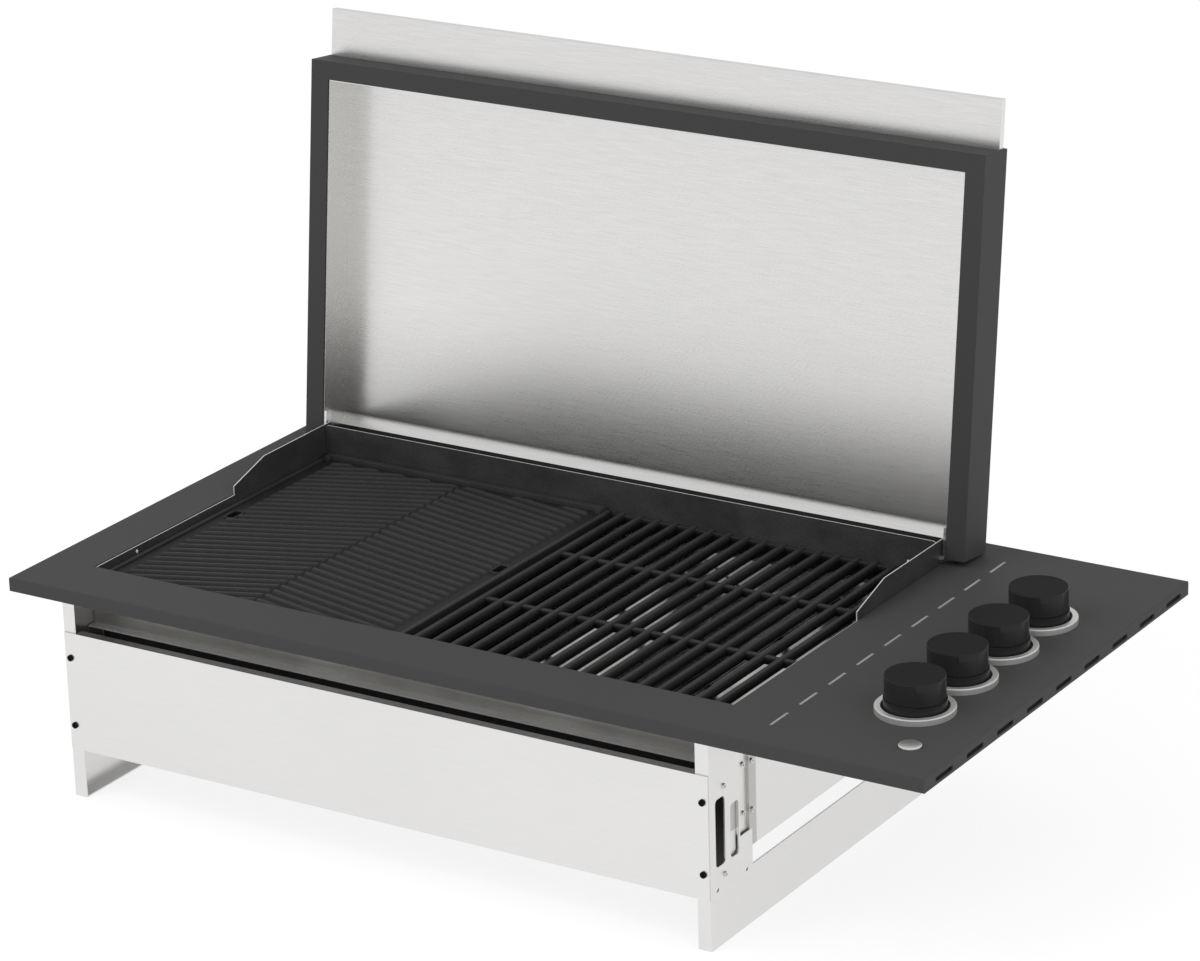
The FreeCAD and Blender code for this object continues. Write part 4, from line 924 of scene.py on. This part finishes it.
class GRILL_OT_grate(bpy.types.Operator):
    """Cast the grate: tapered bars and low cross bars"""
    bl_idname = "grill.grate"
    bl_label = "Grill grate"

    def execute(self, context):
        size = sizes()
        low, high = GRATE_BOX
        tree = bar_row_tree()
        across, depth = high.x - low.x - size.bar_top, high.y - low.y
        tall, drop = size.bar_depth, size.cross_bar_drop
        middle = high.z - tall / 2
        pitch = across / (size.bar_count - 1)
        self.row(tree, "grate_bars", (low.y, middle), (pitch, 0.0, 0.0), size.bar_count, (0.0, depth, 0.0),
                 (size.bar_top, size.bar_foot, tall, size.bar_edge), ("grill_grate",))
        cross, end = size.cross_bar_width, size.end_bar_width
        edge = size.bar_edge * CROSS_BAR_EDGE
        for name, first, pitch, section in (
                ("grate_cross_bars", (low.y + depth * size.cross_bar_first, middle - drop / 2),
                 depth * (size.cross_bar_second - size.cross_bar_first), (cross, cross, tall - drop, edge)),
                ("grate_end_bars", (low.y + end / 2, (low.z + high.z - drop) / 2), depth - end,
                 (end, end, high.z - low.z - drop, edge))):
            self.row(tree, name, first, (0.0, pitch, 0.0), 2, (across, 0.0, 0.0), section)
        return {"FINISHED"}

    def row(self, tree, name, first, step, count, run, section, nodes=()):
        """A row of bars from a first depth and height; the section holds its widths, height and rounding."""
        top, foot, tall, edge = section
        data = grown(tree, name, {
            "First": (GRATE_BOX[0].x + sizes().bar_top / 2, *first), "Step": step, "Count": count, "Run": run,
            "Top": top, "Foot": foot, "Height": tall, "Edge": edge, "Material": coat("grate")})
        place(data, name, "cast_iron", ("grate",), nodes)


class GRILL_OT_burners(bpy.types.Operator):
    """Finish the flame tamers, burners and drip tray"""
    bl_idname = "grill.burners"
    bl_label = "Burners and tray"

    def execute(self, context):
        edge = sizes().sheet_edge
        for number in NUMBERS:
            dress("flame_tamer_%d" % number, "burner_steel", ("tamer",), edge)
            paint_node("burner_%d" % number, "burner")
        dress("drip_tray", "tray_steel", ("tray",), edge)
        return {"FINISHED"}


class GRILL_OT_lid(bpy.types.Operator):
    """Dress the lid's frame, pan, back sheet and handle, and finish its hinges"""
    bl_idname = "grill.lid"
    bl_label = "Lid"

    def execute(self, context):
        size = sizes()

        def pan_part(face):
            """1 for the lower wall of the pan, which stands in the shade of the hinge and is painted black as
            that shade, and 2 for its bend.
            """
            height = face.calc_center_median().z - PAN_LOW
            if height < size.pan_foot:
                return 1
            return 2 if height < size.pan_bend else 0

        dress("lid_tray", "charcoal_paint", ("lid",), size.fold_edge, steps=3, body="lid")
        dress("lid_cover", "charcoal_paint", ("lid",), size.sheet_edge, body="lid")
        dress("lid_liner", "stainless", ("pan", "black_and_painted_shade", "brushed"), size.sheet_edge, chooser=pan_part,
              body="lid")
        dress("lid_handle", "stainless", ("brushed",), size.sheet_edge, body="lid")
        paint_node("hinge_plates", "brushed")
        paint_node("hinge_pins", "spun")
        return {"FINISHED"}


class GRILL_OT_knobs(bpy.types.Operator):
    """Turn the four knobs, each with a seam, a dished top and a flush pointer segment"""
    bl_idname = "grill.knobs"
    bl_label = "Knobs"

    def execute(self, context):
        for number in NUMBERS:
            self.knob("knob_%d" % number, sizes())
        return {"FINISHED"}

    def knob(self, node, size):
        """One knob, turned; its pointer segment is flush with the skirt."""
        low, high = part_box(node)
        centre, skirt = axis_of(low, high)
        seam = FASCIA_TOP + size.knob_seam
        cap = skirt - size.knob_step
        groove = cap - size.knob_groove
        shoulder = high.z - size.knob_edge
        crown = cap - size.knob_edge
        dish = high.z - size.knob_dish
        lower = [(0.0, low.z), *shifted(skirt, low.z, KNOB_FOOT), *shifted(skirt, seam, KNOB_SKIRT_EDGE),
                 (groove, seam), (groove, seam + KNOB_SEAM_HEIGHT)]
        side = [*shifted(cap, seam, KNOB_CAP_FOOT), *shifted(cap, shoulder, KNOB_CAP_SIDE)]
        upper = [*arc((crown, shoulder), size.knob_edge, 0, 90, 6), (crown - KNOB_TOP_EDGE, high.z),
                 (crown - KNOB_DISH_EDGE, dish), (cap * 0.5, dish), (0.0, dish)]

        def flush(index, turn, radius):
            """The radius at a turn: the cap's side steps out at the pointer segment."""
            on_side = len(lower) <= index < len(lower) + len(side)
            at_pointer = (turn - size.pointer_from) % (2 * math.pi) <= size.pointer_width
            return radius + size.knob_step if on_side and at_pointer else radius

        mesh = lathe(centre, lower + side + upper, size.knob_segments, flush)
        mesh.normal_update()
        for face in mesh.faces:
            face.material_index = int(abs(face.normal.z) < KNOB_WALL)
        piece_from(mesh, node + "_turned", "knob_black", ("knob", "knob_gloss"), (node,), body=node,
                   smooth=KNOB_SMOOTH_ANGLE)


class GRILL_OT_bezels(bpy.types.Operator):
    """Turn the trim rings round the knobs"""
    bl_idname = "grill.bezels"
    bl_label = "Bezels"

    def execute(self, context):
        edge, inner_edge = BEZEL_EDGE, BEZEL_EDGE * BEZEL_INNER_EDGE
        for number in NUMBERS:
            node = "bezel_%d" % number
            low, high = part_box(node)
            centre, outer = axis_of(low, high)
            inner = outer - sizes().bezel_wall
            profile = [(inner, low.z), (outer, low.z), (outer, high.z - edge),
                       *arc((outer - edge, high.z - edge), edge, 10, 90, 5),
                       *arc((inner + inner_edge, high.z - inner_edge), inner_edge, 90, 180, 4),
                       (inner, low.z)]
            mesh = lathe(centre, profile, BEZEL_SEGMENTS)
            bmesh.ops.remove_doubles(mesh, verts=mesh.verts, dist=BEZEL_MERGE_DISTANCE)
            piece_from(mesh, node + "_turned", "stainless", ("bezel",), (node,))
        return {"FINISHED"}


class GRILL_OT_igniter(bpy.types.Operator):
    """Turn the igniter's push button and finish its cup"""
    bl_idname = "grill.igniter"
    bl_label = "Igniter"

    def execute(self, context):
        low, high = BUTTON_BOX
        centre, radius = axis_of(low, high)
        crown = high.z
        shoulder, edge_low = low.z + BUTTON_STEM_HEIGHT, crown - BUTTON_EDGE_DROP
        profile = [(0.0, low.z), (BUTTON_STEM, low.z), (BUTTON_STEM, shoulder), (radius, shoulder),
                   (radius, edge_low), *arc((radius - BUTTON_EDGE, edge_low), BUTTON_EDGE, 15, 90, 5),
                   (radius - BUTTON_RIM, crown - BUTTON_RIM_DROP), (radius * 0.5, crown - BUTTON_DOME_DROP),
                   (0.0, crown)]
        piece_from(lathe(centre, profile, BUTTON_SEGMENTS), "igniter_button_turned", "stainless", ("spun",),
                   ("igniter_button",), body="igniter_button")
        paint_node("igniter_body", "black_and_painted_shade")
        return {"FINISHED"}


class GRILL_OT_gas(bpy.types.Operator):
    """Finish the valves, stems, manifold and tubes"""
    bl_idname = "grill.gas"
    bl_label = "Gas parts"

    def execute(self, context):
        paint_node("gas_manifold", "pipe")
        for number in NUMBERS:
            paint_node("gas_valve_%d" % number, "brass")
            paint_node("valve_plug_%d" % number, "brass")
            paint_node("valve_stem_%d" % number, "spun")
            paint_node("gas_tube_%d" % number, "tube")
        return {"FINISHED"}


class GRILL_OT_screws(bpy.types.Operator):
    """Finish the front and side screws"""
    bl_idname = "grill.screws"
    bl_label = "Screws"

    def execute(self, context):
        paint_node("front_screws", "screw")
        paint_node("side_screws", "spun")
        return {"FINISHED"}


class GRILL_OT_stage(bpy.types.Operator):
    """Set the pale floor, the soft light and the camera"""
    bl_idname = "grill.stage"
    bl_label = "Stage"

    def execute(self, context):
        stage = context.scene.grill_stage
        self.floor(stage)
        self.world(context.scene, stage)
        self.lamp("Key light", stage.key_place, stage.key_size, stage.key_power, stage.aim)
        self.lamp("Fill light", stage.fill_place, stage.fill_size, stage.fill_power, stage.aim)
        self.camera(context.scene, stage)
        context.scene.view_settings.view_transform = "Standard"
        return {"FINISHED"}

    def end_by_ray(self, tree, lighting, seen, end):
        """End a tree with one shader for the light that it gives and one for rays that show it."""
        ray = add_node(tree, "ShaderNodeLightPath").outputs
        shown = maths(tree, "MAXIMUM", ray["Is Camera Ray"], ray["Is Glossy Ray"])
        shown = maths(tree, "MAXIMUM", shown, ray["Is Transmission Ray"])
        mix = add_node(tree, "ShaderNodeMixShader", {0: shown, 1: lighting, 2: seen})
        add_node(tree, end, {"Surface": mix})

    def floor(self, stage):
        half = stage.floor_size / 2
        data = bpy.data.meshes.new("floor")
        corners = [(-half, -half, 0), (half, -half, 0), (half, half, 0), (-half, half, 0)]
        data.from_pydata(corners, [], [(0, 1, 2, 3)])
        made = bpy.data.materials.new("Pale floor")
        made.use_nodes = True
        tree = made.node_tree
        tree.nodes.clear()
        matt = add_node(tree, "ShaderNodeBsdfDiffuse", {"Color": (*even(stage.floor_bounce), 1)})
        shaded = add_node(tree, "ShaderNodeBsdfDiffuse", {"Color": (*even(stage.floor_shade), 1)})
        glow = add_node(tree, "ShaderNodeEmission", {"Strength": stage.floor_glow})
        pale = add_node(tree, "ShaderNodeAddShader", {0: shaded, 1: glow})
        self.end_by_ray(tree, matt, pale, "ShaderNodeOutputMaterial")
        data.materials.append(made)
        floor = linked("floor", data)

    def world(self, scene, stage):
        world = bpy.data.worlds.new("Studio")
        world.use_nodes = True
        tree = world.node_tree
        tree.nodes.clear()
        soft = add_node(tree, "ShaderNodeBackground", {"Strength": stage.sky_level})
        white = add_node(tree, "ShaderNodeBackground", {"Strength": 1.0})
        self.end_by_ray(tree, soft, white, "ShaderNodeOutputWorld")
        scene.world = world

    def lamp(self, name, location, size, power, aim):
        data = bpy.data.lights.new(name, "AREA")
        data.size = size
        data.energy = power
        lamp = linked(name, data)
        lamp.location = location
        lamp.visible_glossy = False
        lamp.rotation_mode = "QUATERNION"
        lamp.rotation_quaternion = (Vector(aim) - Vector(location)).to_track_quat("-Z", "Y")

    def camera(self, scene, stage):
        turn, tilt = stage.camera_azimuth, stage.camera_elevation
        back = Vector((math.sin(turn) * math.cos(tilt), -math.cos(turn) * math.cos(tilt), math.sin(tilt)))
        right = Vector((0, 0, 1)).cross(back).normalized()
        up = back.cross(right)
        axes = Matrix((right, up, back)).transposed().to_4x4()
        data = bpy.data.cameras.new("Camera")
        data.sensor_width = SENSOR_WIDTH
        data.lens = stage.camera_lens
        data.clip_end = CLIP_END
        camera = linked("Camera", data)
        camera.matrix_world = (Matrix.Translation(Vector(stage.camera_place)) @ axes
                               @ Matrix.Rotation(stage.camera_roll, 4, "Z"))
        scene.camera = camera


class GRILL_PT_panel(bpy.types.Panel):
    """Lists the grill's pieces, sizes, colours and stage"""
    bl_idname = "GRILL_PT_panel"
    bl_label = "Built-in gas grill"
    bl_space_type = "VIEW_3D"
    bl_region_type = "UI"
    bl_category = "Grill"

    def draw(self, context):
        column = self.layout.column(align=True)
        for operator in OPERATORS:
            column.operator(operator.bl_idname)
        for key in GROUPS:
            group = getattr(context.scene, key)
            box = self.layout.box()
            for name in group.__annotations__:
                box.prop(group, name)


GROUPS = {"grill_sizes": GrillSizes, "grill_colours": GrillColours, "grill_stage": GrillStage}
OPERATORS = (GRILL_OT_fascia, GRILL_OT_body, GRILL_OT_firebox, GRILL_OT_guards, GRILL_OT_hotplate,
             GRILL_OT_grate, GRILL_OT_burners, GRILL_OT_lid, GRILL_OT_knobs, GRILL_OT_bezels,
             GRILL_OT_igniter, GRILL_OT_gas, GRILL_OT_screws, GRILL_OT_stage)
CLASSES = (*GROUPS.values(), *OPERATORS, GRILL_PT_panel)


def register():
    for made in CLASSES:
        bpy.utils.register_class(made)
    for key, group in GROUPS.items():
        setattr(bpy.types.Scene, key, PointerProperty(type=group))


def unregister():
    for key in GROUPS:
        delattr(bpy.types.Scene, key)
    for made in reversed(CLASSES):
        bpy.utils.unregister_class(made)


def main():
    register()
    for operator in OPERATORS:
        group, name = operator.bl_idname.split(".")
        getattr(getattr(bpy.ops, group), name)()


if __name__ == "__main__":
    main()
